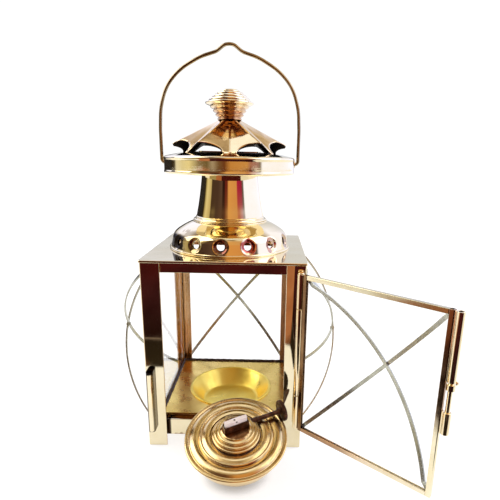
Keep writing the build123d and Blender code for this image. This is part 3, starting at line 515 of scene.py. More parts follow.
PALE = (0.88, 0.785, 0.55)
DEEP = (0.82, 0.69, 0.42)
SHEET = (0.80, 0.715, 0.505)
SHEET_DEEP = (0.74, 0.63, 0.385)
# the inner colours of these case materials are painted reflections on the faces that look into the case
M_CASE = brass("case_brass", SHEET, SHEET_DEEP, 0.045, inner=(0.66, 0.36, 0.14), inner_rough=0.22)
# the front sill's reach tint is painted shade in the gap at the left post; its height_tint makes it darker towards the
# bottom
M_SILL = brass("sill_brass", SHEET, SHEET_DEEP, 0.045, inner=(0.66, 0.36, 0.14), inner_rough=0.22,
               reach=(-0.0400, -0.0463, 0.0035, 0.0046, (0.020, 0.012, 0.008), (0.050, 0.030, 0.018)), height_tint=(0.0058, 0.0074, (0.26, 0.15, 0.08)))
M_POST = brass("rolled_post_brass", SHEET, SHEET_DEEP, 0.045, inner=(0.66, 0.36, 0.14), inner_rough=0.22, roll=(0.0436, 0.46))
M_WARM = brass("warm_post_brass", SHEET, SHEET_DEEP, 0.06, inner=(0.80, 0.38, 0.16), inner_rough=0.4, inner_metal=0.3)
M_ROOF = brass("roof_brass", PALE, DEEP, 0.075, wave=0.0002, wave_scale=48.0, inner=(0.66, 0.36, 0.14), inner_rough=0.22)
M_TURNED = brass("turned_brass", (0.90, 0.79, 0.54), (0.85, 0.71, 0.42), 0.035, wave=0.00004, wave_scale=45.0,
                 hair=0.000003, hair_stretch=(40, 40, 2500), spots=0.1)
# the vent_reflections stops are the colours of a painted reflection of the room round the vents
M_COLLAR = brass("collar_brass", (0.90, 0.79, 0.54), (0.85, 0.71, 0.42), 0.035, wave=0.00006, wave_scale=45.0,
                 hair=0.000003, hair_stretch=(40, 40, 2500), spots=0.1, vent_reflections=[(0.0, (0.010, 0.006, 0.004)), (0.15, (0.016, 0.010, 0.006)), (0.19, (0.42, 0.33, 0.17)), (0.30, (0.40, 0.30, 0.15)),
                                                          (0.36, (0.10, 0.05, 0.035)), (0.52, (0.17, 0.025, 0.025)), (0.58, (0.34, 0.035, 0.045)),
                                                          (0.80, (0.42, 0.06, 0.07)), (0.88, (0.66, 0.50, 0.34)), (1.0, (0.40, 0.28, 0.18))])
# under_black paints the canopy's down-facing faces near-black
M_CANOPY = brass("canopy_brass", (0.90, 0.73, 0.46), (0.75, 0.54, 0.29), 0.085, wave=0.0006, wave_scale=80.0,
                 under_black=True)
M_FLOOR = brass("floor_brass", (0.94, 0.69, 0.21), (0.79, 0.54, 0.12), 0.24, wave=0.00012, wave_scale=26.0,
                hair=0.000008, hair_stretch=(30, 500, 30), spots=0.12)
M_DISH = brass("dish_brass", (0.95, 0.75, 0.17), (0.88, 0.65, 0.11), 0.36, wave=0.00008, spots=0.12,
               rings=((0, 0, 0), (0, 0, 1), 0.0011, 0.000008))
M_LAMP = brass("lamp_brass", (0.79, 0.60, 0.30), (0.66, 0.46, 0.20), 0.18, wave=0.00012, wave_scale=75.0, spots=0.25,
               rings=(LAMP_O * MM, LAMP_UP, 0.0013, 0.000007), heat=0.0092)
M_GUARD = brass("guard_brass", (0.50, 0.49, 0.40), (0.32, 0.31, 0.23), 0.24, wave=0.00004, spots=0.35)
M_WIRE = brass("wire_brass", (0.45, 0.38, 0.23), (0.23, 0.17, 0.10), 0.16, wave=0.00002, spots=0.4)
M_HINGE = brass("hinge_brass", (0.90, 0.78, 0.52), (0.80, 0.62, 0.36), 0.06, wave=0.00003, spots=0.25)
# painted reflections of the room: the hinge stile's dark brown, the rails' copper and pale tints by the hinge, the free
# stile's dark upper part
M_STILE = brass("stile_brass", (0.34, 0.20, 0.09), (0.13, 0.065, 0.03), 0.18, wave=0.00004, spots=0.3)
M_RAIL = brass("rail_brass", (0.88, 0.80, 0.60), (0.76, 0.64, 0.42), 0.14, wave=0.00004, spots=0.3,
               reach=(0.0465, -0.053, 0.025, 0.068, (0.60, 0.37, 0.20), (0.27, 0.16, 0.09)))
M_TOP_RAIL = brass("top_rail_brass", (0.56, 0.50, 0.31), (0.38, 0.31, 0.17), 0.16, wave=0.00004, spots=0.3,
                   reach=(0.0465, -0.053, 0.030, 0.085, (0.88, 0.80, 0.57), (0.80, 0.69, 0.42)))
M_FREE = brass("free_stile_brass", (0.88, 0.80, 0.57), (0.80, 0.69, 0.42), 0.16, wave=0.00004, spots=0.2,
               height_tint=(0.072, 0.050, (0.27, 0.15, 0.08)))
M_DOOR = brass("door_brass", (0.88, 0.80, 0.57), (0.80, 0.69, 0.42), 0.16, wave=0.00004, spots=0.2)


def keeper_brass():
    """Keeper tube: brass with painted shade and reflection as dark bands along both sides, and painted shade, black, at
    its open ends.
    """
    m = brass("keeper_brass", (0.88, 0.78, 0.55), (0.78, 0.64, 0.38), 0.08, wave=0.00003, spots=0.2)
    t = m.node_tree
    p = t.nodes["Principled BSDF"]
    plain = p.inputs["Base Color"].links[0].from_socket
    tc = t.nodes.new("ShaderNodeTexCoord")
    at = t.nodes.new("ShaderNodeSeparateXYZ")
    t.links.new(tc.outputs["Object"], at.inputs[0])
    side = maths(t, "ADD", maths(t, "MULTIPLY", maths(t, "ADD", at.outputs[0], 0.0465), 0.961),
                 maths(t, "MULTIPLY", maths(t, "ADD", at.outputs[1], 0.053), 0.276))
    across = ranged(t, side, 0.0, 1.0, -0.00225, 0.00225)
    # painted shade and reflection: dark bands down both sides of the tube
    side_shade = ramp(t, across, [(0.0, (1.0, 1.0, 1.0)), (0.11, (0.95, 0.95, 0.95)), (0.16, (0.0, 0.0, 0.0)), (0.66, (0.0, 0.0, 0.0)),
                            (0.76, (0.80, 0.80, 0.80)), (1.0, (0.95, 0.95, 0.95))])
    colour = blend_colour(t, side_shade, plain, (0.075, 0.052, 0.020))
    # painted shade: both open ends of the tube turn black
    end_noise = noise(t, tc.outputs["Object"], 700.0, 3.0, 0.6)
    level = maths(t, "ADD", at.outputs[2], ranged(t, end_noise, -0.0006, 0.0006, 0.3, 0.7))
    ends = maths(t, "MAXIMUM", ranged(t, level, 0.0, 1.0, 0.0528, 0.0536, True), ranged(t, level, 1.0, 0.0, 0.0130, 0.0137, True))
    colour = blend_colour(t, ends, colour, (0.008, 0.006, 0.005))
    t.links.new(colour, p.inputs["Base Color"])
    return m


M_KEEPER = keeper_brass()


def dark_bronze():
    m, t, p = new_mat("dark_bronze")
    tc = t.nodes.new("ShaderNodeTexCoord")
    obj = tc.outputs["Object"]
    a = noise(t, obj, 260.0, 4.0, 0.6)
    b = noise(t, obj, 900.0, 3.0, 0.6)
    colour = ramp(t, a, [(0.3, (0.028, 0.014, 0.010)), (0.55, (0.085, 0.040, 0.024)), (0.75, (0.24, 0.11, 0.055))])
    p.inputs["Metallic"].default_value = 0.85
    t.links.new(colour, p.inputs["Base Color"])
    t.links.new(ranged(t, b, 0.22, 0.5, 0.3, 0.7), p.inputs["Roughness"])
    t.links.new(bump(t, b, 0.00006), p.inputs["Normal"])
    return m


def soot_black():
    m, t, p = new_mat("soot_black")
    tc = t.nodes.new("ShaderNodeTexCoord")
    obj = tc.outputs["Object"]
    a = noise(t, obj, 180.0, 5.0, 0.65)
    t.links.new(blend_colour(t, a, (0.006, 0.005, 0.005), (0.03, 0.024, 0.022)), p.inputs["Base Color"])
    t.links.new(ranged(t, a, 0.45, 0.75), p.inputs["Roughness"])
    t.links.new(bump(t, a, 0.00012), p.inputs["Normal"])
    return m


def clear_glass():
    m, t, p = new_mat("clear_glass")
    tc = t.nodes.new("ShaderNodeTexCoord")
    obj = tc.outputs["Object"]
    a = noise(t, obj, 18.0, 2.0, 0.5)
    b = noise(t, obj, 90.0, 4.0, 0.6)
    p.inputs["Base Color"].default_value = (0.985, 0.995, 0.99, 1.0)
    p.inputs["Transmission Weight"].default_value = 1.0
    p.inputs["IOR"].default_value = 1.3
    t.links.new(ranged(t, b, 0.0, 0.02, 0.45, 0.75), p.inputs["Roughness"])
    t.links.new(bump(t, a, 0.00001), p.inputs["Normal"])
    return m


def cotton():
    m, t, p = new_mat("cotton_wick")
    tc = t.nodes.new("ShaderNodeTexCoord")
    obj = tc.outputs["Object"]
    a = noise(t, obj, 1400.0, 3.0, 0.6)
    b = noise(t, obj, 220.0, 3.0, 0.6)
    base = blend_colour(t, b, (0.98, 0.92, 0.90), (0.84, 0.77, 0.75))
    dots = None
    for q in (lamp_at(15.1, -0.7, 0.1), lamp_at(14.2, 0.1, -1.35)):
        d = t.nodes.new("ShaderNodeVectorMath")
        d.operation = "DISTANCE"
        d.inputs[1].default_value = tuple(q * MM)
        t.links.new(obj, d.inputs[0])
        one = ranged(t, d.outputs["Value"], 1.0, 0.0, 0.00042, 0.00072, True)
        dots = one if dots is None else maths(t, "MAXIMUM", dots, one)
    t.links.new(blend_colour(t, dots, base, (0.05, 0.03, 0.025)), p.inputs["Base Color"])
    p.inputs["Roughness"].default_value = 0.9
    p.inputs["Sheen Weight"].default_value = 0.25
    t.links.new(bump(t, a, 0.00012), p.inputs["Normal"])
    return m


M_DARK = dark_bronze()
M_SOOT = soot_black()
M_GLASS = clear_glass()
M_COTTON = cotton()

# ------------------------------------------------------------------ stack: collar, neck, pan
ROOF_TOP = 126.0


def dimple(r, z, a):
    """Each vent is punched through a shallow pressed dimple."""
    if z > 139.5 or r < 36.0:
        return 0.0
    best = 9.0
    for v in VENTS:
        d = (a - v + math.pi) % (2 * math.pi) - math.pi
        if abs(d) < 0.25:
            best = min(best, math.hypot(d * r, z - 132.4))
    if best > 5.2:
        return 0.0
    t = max(0.0, min(1.0, (5.2 - best) / 2.6))
    return -1.35 * t * t * (3 - 2 * t)


outer = flow([(40.15, 127.9), (39.85, 129.4), (39.55, 131.0), (39.2, 132.8), (38.85, 134.4), (38.2, 135.7), (36.9, 137.3), (35.2, 138.7),
              (33.0, 140.1), (30.6, 141.5), (28.2, 142.7), (26.6, 143.4), (25.5, 143.8)], 9)
inner = flow([(25.0, 142.7), (26.4, 142.2), (28.0, 141.6), (30.2, 140.5), (32.3, 139.2), (34.6, 137.5), (36.0, 135.9), (37.2, 134.1),
              (38.0, 132.4), (38.5, 130.6), (38.8, 128.8), (38.9, 127.7)], 7)
prof = soften([(38.9, ROOF_TOP), (41.1, ROOF_TOP), (41.2, ROOF_TOP + 1.15), (40.5, ROOF_TOP + 1.6)], [0, 0.3, 0.5, 0.4])
prof = prof + outer + soften([(25.4, 144.0), (25.3, 144.6), (21.6, 144.6), (21.6, 143.6)], [0.2, 0.2, 0.1, 0.1]) + inner
v, f = lathe_data(prof, 480, shift=dimple)
collar = make("vent_collar_fine", v, f, M_COLLAR, "lantern", "vent_collar", smooth=0)
drill(collar, [((20 * math.cos(a), 20 * math.sin(a), 132.4), (math.cos(a), math.sin(a), 0)) for a in VENTS], 2.55, 30)

z0 = 144.6
prof = soften([(21.9, z0), (24.4, z0), (24.8, z0 + 0.35), (24.8, z0 + 0.9), (24.3, z0 + 1.3), (23.5, z0 + 1.35)],
              [0, 0.2, 0.3, 0.35, 0.35, 0.25])
prof += soften([(23.05, z0 + 1.6), (23.35, z0 + 2.0), (23.25, z0 + 2.55), (22.7, z0 + 2.95)], [0.2, 0.3, 0.3, 0.2], closed=False)
prof += flow([(22.6, z0 + 3.4), (22.2, z0 + 5.4), (21.35, z0 + 9.7), (20.4, z0 + 15.6), (19.5, z0 + 22.2), (18.65, z0 + 29.8)], 5)
prof += [(18.6, z0 + 30.0), (17.8, z0 + 30.0), (19.6, z0 + 15.6), (21.5, z0 + 4.0), (21.9, z0 + 3.0)]
v, f = lathe_data(prof, 256)
make("chimney_neck_fine", v, f, M_TURNED, "lantern", "chimney_neck")

prof = soften([
    (17.4, 174.6), (39.6, 174.85), (41.2, 174.95), (42.75, 175.5), (43.1, 176.25), (42.95, 176.95), (42.8, 177.4), (42.8, 183.7), (42.95, 184.2),
    (43.05, 184.9), (42.7, 185.7), (41.7, 186.2), (33.0, 188.0), (18.0, 188.0), (18.0, 187.0), (32.8, 187.0), (41.2, 185.1),
    (41.9, 184.3), (41.9, 177.0), (41.5, 176.4), (40.6, 175.9), (17.4, 175.6)],
    [0.2, 1.5, 0.8, 0.7, 0.6, 0.4, 0.3, 0.3, 0.3, 0.6, 0.8, 0.8, 2.0, 0.2, 0.2, 1.5, 0.4, 0.4, 0.4, 0.4, 0.4, 0.2])
v, f = lathe_data(prof, 320)
pan = make("smoke_pan_fine", v, f, M_TURNED, "lantern", "smoke_pan")
drill(pan, [((38, 0, 181.9), (1, 0, 0)), ((-38, 0, 181.9), (-1, 0, 0))], 2.45, 8)

# ------------------------------------------------------------------ canopy: six bent flutes on feet
def star_radius(phi, z):
    """Radius of the folded sheet at an azimuth and height; creases have a small bend radius."""
    k = (z - 188.0) / 21.0
    rr = 50.2 + (7.4 - 50.2) * k
    rv = 31.0 + (6.0 - 31.0) * k
    step = math.pi / 6
    a = (phi - math.radians(-85.0)) % (2 * step)
    a = a if a <= step else 2 * step - a
    px, py = rv, 0.0
    qx, qy = rr * math.cos(step), rr * math.sin(step)
    dx, dy = qx - px, qy - py
    return (px * dy - py * dx) / (math.cos(a) * dy - math.sin(a) * dx)


def rounded_radius(phi, z):
    total, weight = 0.0, 0.0
    base = star_radius(phi, z)
    for j in range(-4, 5):
        d = j * 0.38 / max(base, 6.0)
        w = math.exp(-(j / 2.4) ** 2)
        total += w * star_radius(phi + d, z)
        weight += w
    return total / weight


cols, rows_n = 576, 26
verts, faces = [], []
for c in range(cols):
    phi = 2 * math.pi * c / cols
    rel = (phi - math.radians(-55.0) + math.pi / 6) % (math.pi / 3) - math.pi / 6
    lo, hi = 188.05, 209.0
    ridge = phi - rel
    arch = 176.8
    if abs(math.cos(ridge)) > 0.9:
        arch += (-1.3 if rel * math.cos(ridge) > 0.0 else 1.9) * min(1.0, abs(rel) / 0.06)

    def inside(z):
        s = rounded_radius(phi, z) * math.sin(rel)
        return s * s + (z - arch) ** 2 < 17.4 ** 2

    bottom = lo
    if inside(lo):
        a, b = lo, 199.0
        for _ in range(26):
            mid = (a + b) / 2
            if inside(mid):
                a = mid
            else:
                b = mid
        bottom = b
    for r in range(rows_n):
        z = hi + (bottom - hi) * (r / (rows_n - 1)) ** 0.9
        rad = rounded_radius(phi, z)
        verts.append((rad * math.cos(phi) * MM, rad * math.sin(phi) * MM, z * MM))
for c in range(cols):
    c2 = (c + 1) % cols
    for r in range(rows_n - 1):
        faces.append((c * rows_n + r, c * rows_n + r + 1, c2 * rows_n + r + 1, c2 * rows_n + r))
canopy = make("canopy_fine", verts, faces, M_CANOPY, "lantern", "canopy", smooth=0)
thick = canopy.modifiers.new("sheet", "SOLIDIFY")
thick.thickness = 0.9 * MM
thick.offset = -1.0
thick.use_even_offset = False

# ------------------------------------------------------------------ finial: stacked turned rings
prof = [(0, 209.0), (7.6, 209.0)] + soften([
    (7.6, 209.0), (8.0, 209.7), (7.2, 210.4), (8.9, 211.5), (9.3, 212.2), (8.4, 212.8), (10.5, 214.0), (10.9, 214.7), (10.0, 215.3),
    (12.2, 216.3), (12.7, 216.9), (11.9, 217.5), (14.6, 218.2), (15.6, 218.8), (15.6, 219.7), (14.5, 220.2), (13.2, 220.0),
    (13.5, 221.1), (12.7, 222.2), (11.3, 221.8), (11.5, 223.0), (10.6, 224.1), (9.1, 223.7), (9.2, 225.0), (8.2, 225.9), (6.6, 225.5),
    (6.6, 226.6), (5.4, 227.3), (3.0, 227.6), (0.0, 227.6)], 0.55, 5, closed=False)
v, f = lathe_data(prof, 200)
# painted shade: the finial's lower part, under its widest lip, is tinted darker red-brown
M_FINIAL = brass("finial_brass", (0.91, 0.81, 0.57), (0.84, 0.68, 0.42), 0.05, wave=0.00003, wave_scale=60.0, spots=0.1,
                 height_tint=(0.2125, 0.2195, (0.56, 0.33, 0.19)))
make("finial_fine", v, f, M_FINIAL, "lantern", "finial", smooth=60)

# ------------------------------------------------------------------ dish in the floor
prof = soften([
    (0, 6.4), (20.8, 6.4), (29.25, 17.4), (29.25, 17.8), (30.4, 17.8), (30.4, 18.4), (30.05, 18.8), (29.1, 18.8), (28.55, 18.35),
    (28.0, 17.4), (20.4, 7.2), (0, 7.2)], [0, 1.2, 0.4, 0.1, 0.1, 0.3, 0.3, 0.5, 0.6, 0.8, 1.6, 0], 6)
v, f = lathe_data(prof, 220)
make("lamp_dish_fine", v, f, M_DISH, "lantern", "lamp_dish")

# ------------------------------------------------------------------ lamp: spun font and stepped burner
FOOT = -19.15
bowl_out = flow([(18.2, FOOT + 0.6), (21.2, -16.1), (23.8, -13.7), (25.9, -10.5), (27.4, -7.4), (28.5, -4.0), (29.2, -0.9)], 6)
bowl_in = flow([(28.3, -0.9), (27.6, -4.0), (26.5, -7.1), (25.0, -10.1), (23.0, -13.1), (17.6, FOOT + 1.7)], 5)
prof = [(0, FOOT + 0.9)] + soften([(15.6, FOOT + 0.9), (16.2, FOOT), (17.5, FOOT), (18.2, FOOT + 0.6)], [0.3, 0.4, 0.4, 0])
prof += bowl_out + [(30.35, -0.9), (30.4, -0.85), (30.4, -0.1), (28.3, -0.1)] + bowl_in + [(0, FOOT + 1.7)]
v, f = lathe_data(prof, 220, LAMP_O, LAMP_UP)
make("font_bowl_fine", v, f, M_LAMP, "lamp", "font_bowl")

prof = soften([(28.2, -0.1), (30.9, -0.1), (30.95, 0.45), (30.5, 0.85), (29.15, 0.85), (28.8, 0.42), (28.2, 0.38), (27.85, 0.75)],
              [0.05, 0.15, 0.35, 0.4, 0.35, 0.25, 0.25, 0.3], 5)
prof += flow([(27.6, 0.95), (26.8, 1.4), (25.7, 1.75), (24.6, 1.8), (23.7, 1.6), (22.9, 1.35)], 6)
prof += soften([(22.65, 1.3), (22.3, 1.95), (21.75, 2.75), (21.05, 2.85), (20.6, 2.2)], [0.2, 0.5, 0.55, 0.5, 0.2], 6, closed=False)
prof += flow([(20.4, 2.15), (19.6, 2.45), (18.5, 2.8), (17.4, 2.85), (16.4, 2.62)], 6)
prof += soften([(15.8, 2.4), (15.45, 1.55), (15.2, 1.5), (12.6, 1.5), (12.6, 0.7), (15.8, 0.7), (16.3, 1.7)], [0.3, 0.1, 0.1, 0.05, 0.05, 0.1, 0.1], 3, closed=False)
prof += flow([(16.6, 1.7), (18.4, 1.65), (20.4, 1.6)], 4) + [(20.9, 1.4), (21.6, 0.8), (22.7, 0.4)] + flow([(23.0, 0.5), (24.0, 0.85), (25.4, 0.85), (28.0, -0.05)], 4)
v, f = lathe_data(prof, 256, LAMP_O, LAMP_UP)
make("font_dome_fine", v, f, M_LAMP, "lamp", "font_dome", smooth=40)

prof = soften([(12.0, 1.5), (14.8, 1.5), (14.85, 1.85), (14.5, 2.2), (12.0, 2.2)], [0, 0.05, 0.15, 0.15, 0], 4)
v, f = lathe_data(prof, 200, LAMP_O, LAMP_UP)
make("font_collar_fine", v, f, M_DARK, "lamp", "font_collar")

prof = soften([
    (11.9, 2.2), (13.9, 2.2), (14.45, 2.6), (14.45, 3.15), (14.0, 3.65), (12.7, 3.72), (12.55, 3.95), (13.1, 4.3), (13.15, 4.9), (12.7, 5.42), (10.95, 5.5),
    (10.8, 5.75), (11.2, 6.05), (11.25, 6.62), (10.8, 7.12), (9.35, 7.2), (9.05, 7.55), (8.5, 7.9)],
    [0, 0.2, 0.4, 0.45, 0.5, 0.15, 0.15, 0.4, 0.45, 0.5, 0.15, 0.15, 0.4, 0.45, 0.5, 0.15, 0.3, 0.3], 5, closed=False)
prof = prof + [(0, 7.95), (0, 7.1), (8.1, 7.1), (8.5, 6.7), (10.1, 6.4), (10.1, 4.9), (11.9, 4.7)]
v, f = lathe_data(prof, 220, LAMP_O, LAMP_UP)
burner = make("burner_cap_fine", v, f, M_LAMP, "lamp", "burner_cap", smooth=45)


def slab(u0, u1, v0, v1, h0, h1):
    """A rectangular cutter on the lamp's axes."""
    pts = [(u, p, h) for h in (h0, h1) for u, p in ((u0, v0), (u1, v0), (u1, v1), (u0, v1))]
    return [tuple(lamp_at(h, u, p) * MM) for u, p, h in pts], [(3, 2, 1, 0), (4, 5, 6, 7), (0, 1, 5, 4), (1, 2, 6, 5), (2, 3, 7, 6), (3, 0, 4, 7)]


def cut_with(ob, verts, faces):
    me = bpy.data.meshes.new("cutter")
    me.from_pydata(verts, [], faces)
    bm = bmesh.new()
    bm.from_mesh(me)
    bmesh.ops.recalc_face_normals(bm, faces=bm.faces)
    bm.to_mesh(me)
    bm.free()
    tool = bpy.data.objects.new("cutter", me)
    scene.collection.objects.link(tool)
    mod = ob.modifiers.new("slot", "BOOLEAN")
    mod.operation = "DIFFERENCE"
    mod.solver = "EXACT"
    mod.object = tool
    bpy.context.view_layer.update()
    done = bpy.data.meshes.new_from_object(ob.evaluated_get(bpy.context.evaluated_depsgraph_get()))
    old = ob.data
    ob.modifiers.clear()
    ob.data = done
    bpy.data.objects.remove(tool)
    bpy.data.meshes.remove(me)
    bpy.data.meshes.remove(old)
    done.polygons.foreach_set("use_smooth", [True] * len(done.polygons))
    done.set_sharp_from_angle(angle=math.radians(45))


cut_with(burner, *slab(-7.7, 7.7, -2.15, 2.15, 6.2, 11.0))
drill(burner, [(tuple(lamp_at(4.8, 6.0, 3.1)), tuple(WIND))], 0.96, 12)


def tube(name, centre_line, radius, mat, body, node, n=24, bore=None, ease=0.25):
    """A straight tube or rod along two points, ends eased; bore makes it hollow."""
    a, b = Vector(centre_line[0]), Vector(centre_line[1])
    ax = (b - a)
    L = ax.length
    if bore:
        prof = soften([(bore, 0), (radius, 0), (radius, L), (bore, L)], ease, 3)
    else:
        prof = [(0, 0)] + soften([(0, 0), (radius, 0), (radius, L), (0, L)], [0, ease, ease, 0], 3, closed=False) + [(0, L)]
        prof = prof[1:-1]
    v, f = lathe_data(prof, n, a, ax / L)
    return make(name, v, f, mat, body, node, smooth=45)


gland = tube("winder_gland", (lamp_at(4.8, 10.9, 3.1), lamp_at(4.8, 15.6, 3.1)), 1.75, M_DARK, "lamp", None, 36, bore=0.96)

refine("wick_tube", M_DARK, 0.12, 2)
refine("winder_spindle", M_DARK, 0.12, 2)

# winder knob: thick disc with a milled edge, a raised rim and a hub
rim = []
teeth = 40
prof = soften([
    (0.9, 29.0), (2.0, 29.0), (2.0, 30.8), (3.6, 31.0), (4.8, 31.35), (5.4, 31.0), (6.3, 31.0), (6.6, 31.4), (6.6, 32.8), (6.3, 33.2), (5.4, 33.2),
    (4.8, 32.85), (2.9, 32.85), (2.2, 33.4), (0.9, 33.4)], [0, 0.3, 0.3, 0.3, 0.3, 0.3, 0.3, 0.3, 0.3, 0.3, 0.3, 0.3, 0.3, 0.3, 0], 3)


def milled(r, z, a):
    if r < 6.2:
        return 0.0
    return -0.28 * (0.5 + 0.5 * math.cos(a * teeth)) ** 2


v, f = lathe_data(prof, 320, lamp_at(4.8, 0.0, 3.1), WIND, milled)
make("winder_knob_fine", v, f, M_DARK, "winder", "winder_knob", smooth=50)

# wick: flat woven tape, cords along its length, a little frayed at the top
verts, faces = [], []
nu, nh = 84, 150
CORDS = 9
ring_pts = []
half_w, half_t = 7.0, 1.4
for i in range(nu):
    s = 2 * math.pi * i / nu
    cx, sx = math.cos(s), math.sin(s)
    u = half_w * math.copysign(abs(cx) ** 0.35, cx)
    p = half_t * math.copysign(abs(sx) ** 0.45, sx)
    ring_pts.append((u, p, sx))
for j in range(nh + 1):
    h = -13.0 + 28.2 * j / nh
    for u, p, sx in ring_pts:
        cord = math.cos(u / half_w * math.pi * CORDS)
        pick = math.cos(h * 2 * math.pi / 1.15 + (math.pi if int((u / half_w + 1) * CORDS / 2) % 2 else 0))
        side = math.copysign(min(1.0, abs(sx) * 1.6), sx)
        q = p - side * (0.10 - 0.07 * cord - 0.05 * pick)
        hh = h
        if j == nh:
            hh = h - 0.22 * (0.5 + 0.5 * math.sin(u * 5.1 + p * 3.3))
        verts.append(tuple(lamp_at(hh, u * (1 - 0.006 * abs(pick)), q) * MM))
for j in range(nh):
    for i in range(nu):
        i2 = (i + 1) % nu
        faces.append((j * nu + i, j * nu + i2, (j + 1) * nu + i2, (j + 1) * nu + i))
low = len(verts)
verts.append(tuple(lamp_at(-13.0) * MM))
top = len(verts)
verts.append(tuple(lamp_at(14.95) * MM))
for i in range(nu):
    i2 = (i + 1) % nu
    faces.append((low, i2, i))
    faces.append((top, nh * nu + i, nh * nu + i2))
make("wick_fine", verts, faces, M_COTTON, "wick", "wick", smooth=70)

# ------------------------------------------------------------------ bail: bent wire
WIRE = 1.1
pts = [(38.6, 181.9), (45.2, 181.9), (45.3, 203.0), (44.6, 216.0), (40.3, 229.5), (31.0, 239.3), (18.5, 246.4), (8.0, 249.6), (2.6, 253.9)]
path2 = pts + [(-x, z) for x, z in reversed(pts)]
rad = [2.0, 60.0, 40.0, 30.0, 40.0, 40.0, 9.0, 6.6]
rad = [0] + rad + list(reversed(rad)) + [0]
line = []
for i, p in enumerate(path2):
    if rad[i] == 0:
        line.append(Vector(p))
        continue
    a, b, c = Vector(path2[i - 1]), Vector(p), Vector(path2[i + 1])
    u, w = (a - b).normalized(), (c - b).normalized()
    half = math.acos(max(-1, min(1, u.dot(w)))) / 2
    reach = rad[i] / math.tan(half)
    s, e = b + u * reach, b + w * reach
    mid_dir = (u + w).normalized()
    centre = b + mid_dir * (rad[i] / math.sin(half))
    a0 = math.atan2(s.y - centre.y, s.x - centre.x)
    a1 = math.atan2(e.y - centre.y, e.x - centre.x)
    d = (a1 - a0 + math.pi) % (2 * math.pi) - math.pi
    steps = max(3, int(abs(d) * rad[i] / 0.45), int(abs(d) / 0.09))
    for k in range(steps + 1):
        ang = a0 + d * k / steps
        line.append(centre + Vector((math.cos(ang), math.sin(ang))) * rad[i])
dense = []
for i, q in enumerate(line):
    if i:
        gap = (q - line[i - 1]).length
        for k in range(1, int(gap / 1.6) + 1):
            dense.append(line[i - 1].lerp(q, k / (int(gap / 1.6) + 1)))
    if not dense or (q - dense[-1]).length > 0.02:
        dense.append(q)
line = dense
verts, faces = [], []
m = 20
for i, q in enumerate(line):
    tan = (line[min(i + 1, len(line) - 1)] - line[max(i - 1, 0)]).normalized()
    nor = Vector((-tan.y, tan.x))
    wob = 1.0 + 0.015 * math.sin(i * 0.37)
    for k in range(m):
        a = 2 * math.pi * k / m
        r = WIRE * wob
        x, z = q + nor * (r * math.cos(a))
        verts.append((x * MM, r * math.sin(a) * MM, z * MM))
for i in range(len(line) - 1):
    for k in range(m):
        k2 = (k + 1) % m
        faces.append((i * m + k, i * m + k2, (i + 1) * m + k2, (i + 1) * m + k))
for s in (0, 1):
    base = 0 if s == 0 else (len(line) - 1) * m
    sx = 1 if s == 0 else -1
    prev = [base + k for k in range(m)]
    for r, dx in ((2.0, 39.9), (2.1, 39.8), (2.1, 38.6), (2.0, 38.5)):
        ring = []
        for k in range(m):
            a = 2 * math.pi * k / m
            vx, vy, vz = verts[base + k]
            dirz = (vz / MM - 181.9) / WIRE
            diry = (vy / MM) / WIRE
            verts.append((sx * dx * MM, diry * r * MM, (181.9 + dirz * r) * MM))
            ring.append(len(verts) - 1)
        if r == 2.0 and dx > 39:
            inner_ring = ring
        else:
            for k in range(m):
                k2 = (k + 1) % m
                faces.append((prev[k], prev[k2], ring[k2], ring[k]))
        prev = ring
    faces.append(tuple(prev))
    faces.append(tuple(base + k for k in range(m)))
    faces.append(tuple(inner_ring))
make("bail_wire", verts, faces, M_WIRE, "bail", "bail_handle", smooth=50)

# ------------------------------------------------------------------ case, door and small parts: eased edges
for n in ("corner_post_front_left", "corner_post_front_right", "corner_post_rear_left", "corner_post_rear_right"):
    refine(n, {"corner_post_front_right": M_POST, "corner_post_rear_right": M_WARM}.get(n, M_CASE), 0.3, 3)
for n in ("front_sill", "left_sill", "right_sill", "rear_sill", "front_header", "left_header", "right_header", "rear_header"):
    refine(n, M_SILL if n == "front_sill" else M_CASE, 0.25, 3)
refine("roof_plate", M_ROOF, 0.25, 3)
refine("floor_plate", M_FLOOR, 0.2, 2)
for n in ("door_hinge_stile", "door_free_stile", "door_top_rail", "door_bottom_rail"):
    refine(n, {"door_hinge_stile": M_STILE, "door_bottom_rail": M_RAIL, "door_free_stile": M_FREE, "door_top_rail": M_TOP_RAIL}.get(n, M_DOOR), 0.3, 3)
for n in ("hinge_knuckles", "hinge_pin", "door_knuckle", "latch_keeper", "latch_tube_upper", "latch_tube_lower", "latch_rod",
          "latch_knob", "bail_ferrules"):
    refine(n, M_KEEPER if n == "latch_keeper" else M_HINGE, 0.25, 3)
for n in ("canopy_bridge", "finial_stud"):
    refine(n, M_CASE, 0.2, 2)
refine("smoke_baffle", M_SOOT, 0.2, 2)
for n in sorted(frame["nodes"]):
    if "guard" in n:
        refine(n, M_GUARD, 0.22, 3)
    if "glass" in n:
        refine(n, M_GLASS, 0.25, 2)

# dark beads where the panes meet the floor plate, dark pieces that stand in for the shade in the gap there
def bead(name, a, b, inward):
    """A rounded dark fillet along an edge of the floor plate, from a to b, its flat back to the pane; it stands in for
    shade in the gap.
    """
    a, b, inward = Vector(a), Vector(b), Vector(inward)
    section = soften([(0.0, 0.0), (1.7, 0.0), (1.45, 0.75), (0.55, 1.35), (0.0, 1.45)], [0.0, 0.3, 0.6, 0.6, 0.1], 4)
    n = 60
    verts, faces = [], []
    for i in range(n + 1):
        q = a.lerp(b, i / n)
        for u, z in section:
            wave = 1.0 + 0.06 * math.sin(i * 1.7 + u * 2.0) + 0.04 * math.sin(i * 0.61)
            verts.append(tuple((q + inward * (u * wave) + Vector((0, 0, z * wave))) * MM))
    k = len(section)
    for i in range(n):
        for j in range(k):
            j2 = (j + 1) % k
            faces.append((i * k + j, i * k + j2, (i + 1) * k + j2, (i + 1) * k + j))
    faces.append(tuple(range(k)))
    faces.append(tuple(n * k + j for j in reversed(range(k))))
    make(name, verts, faces, M_GAP_SHADE, "lantern", None, smooth=40)
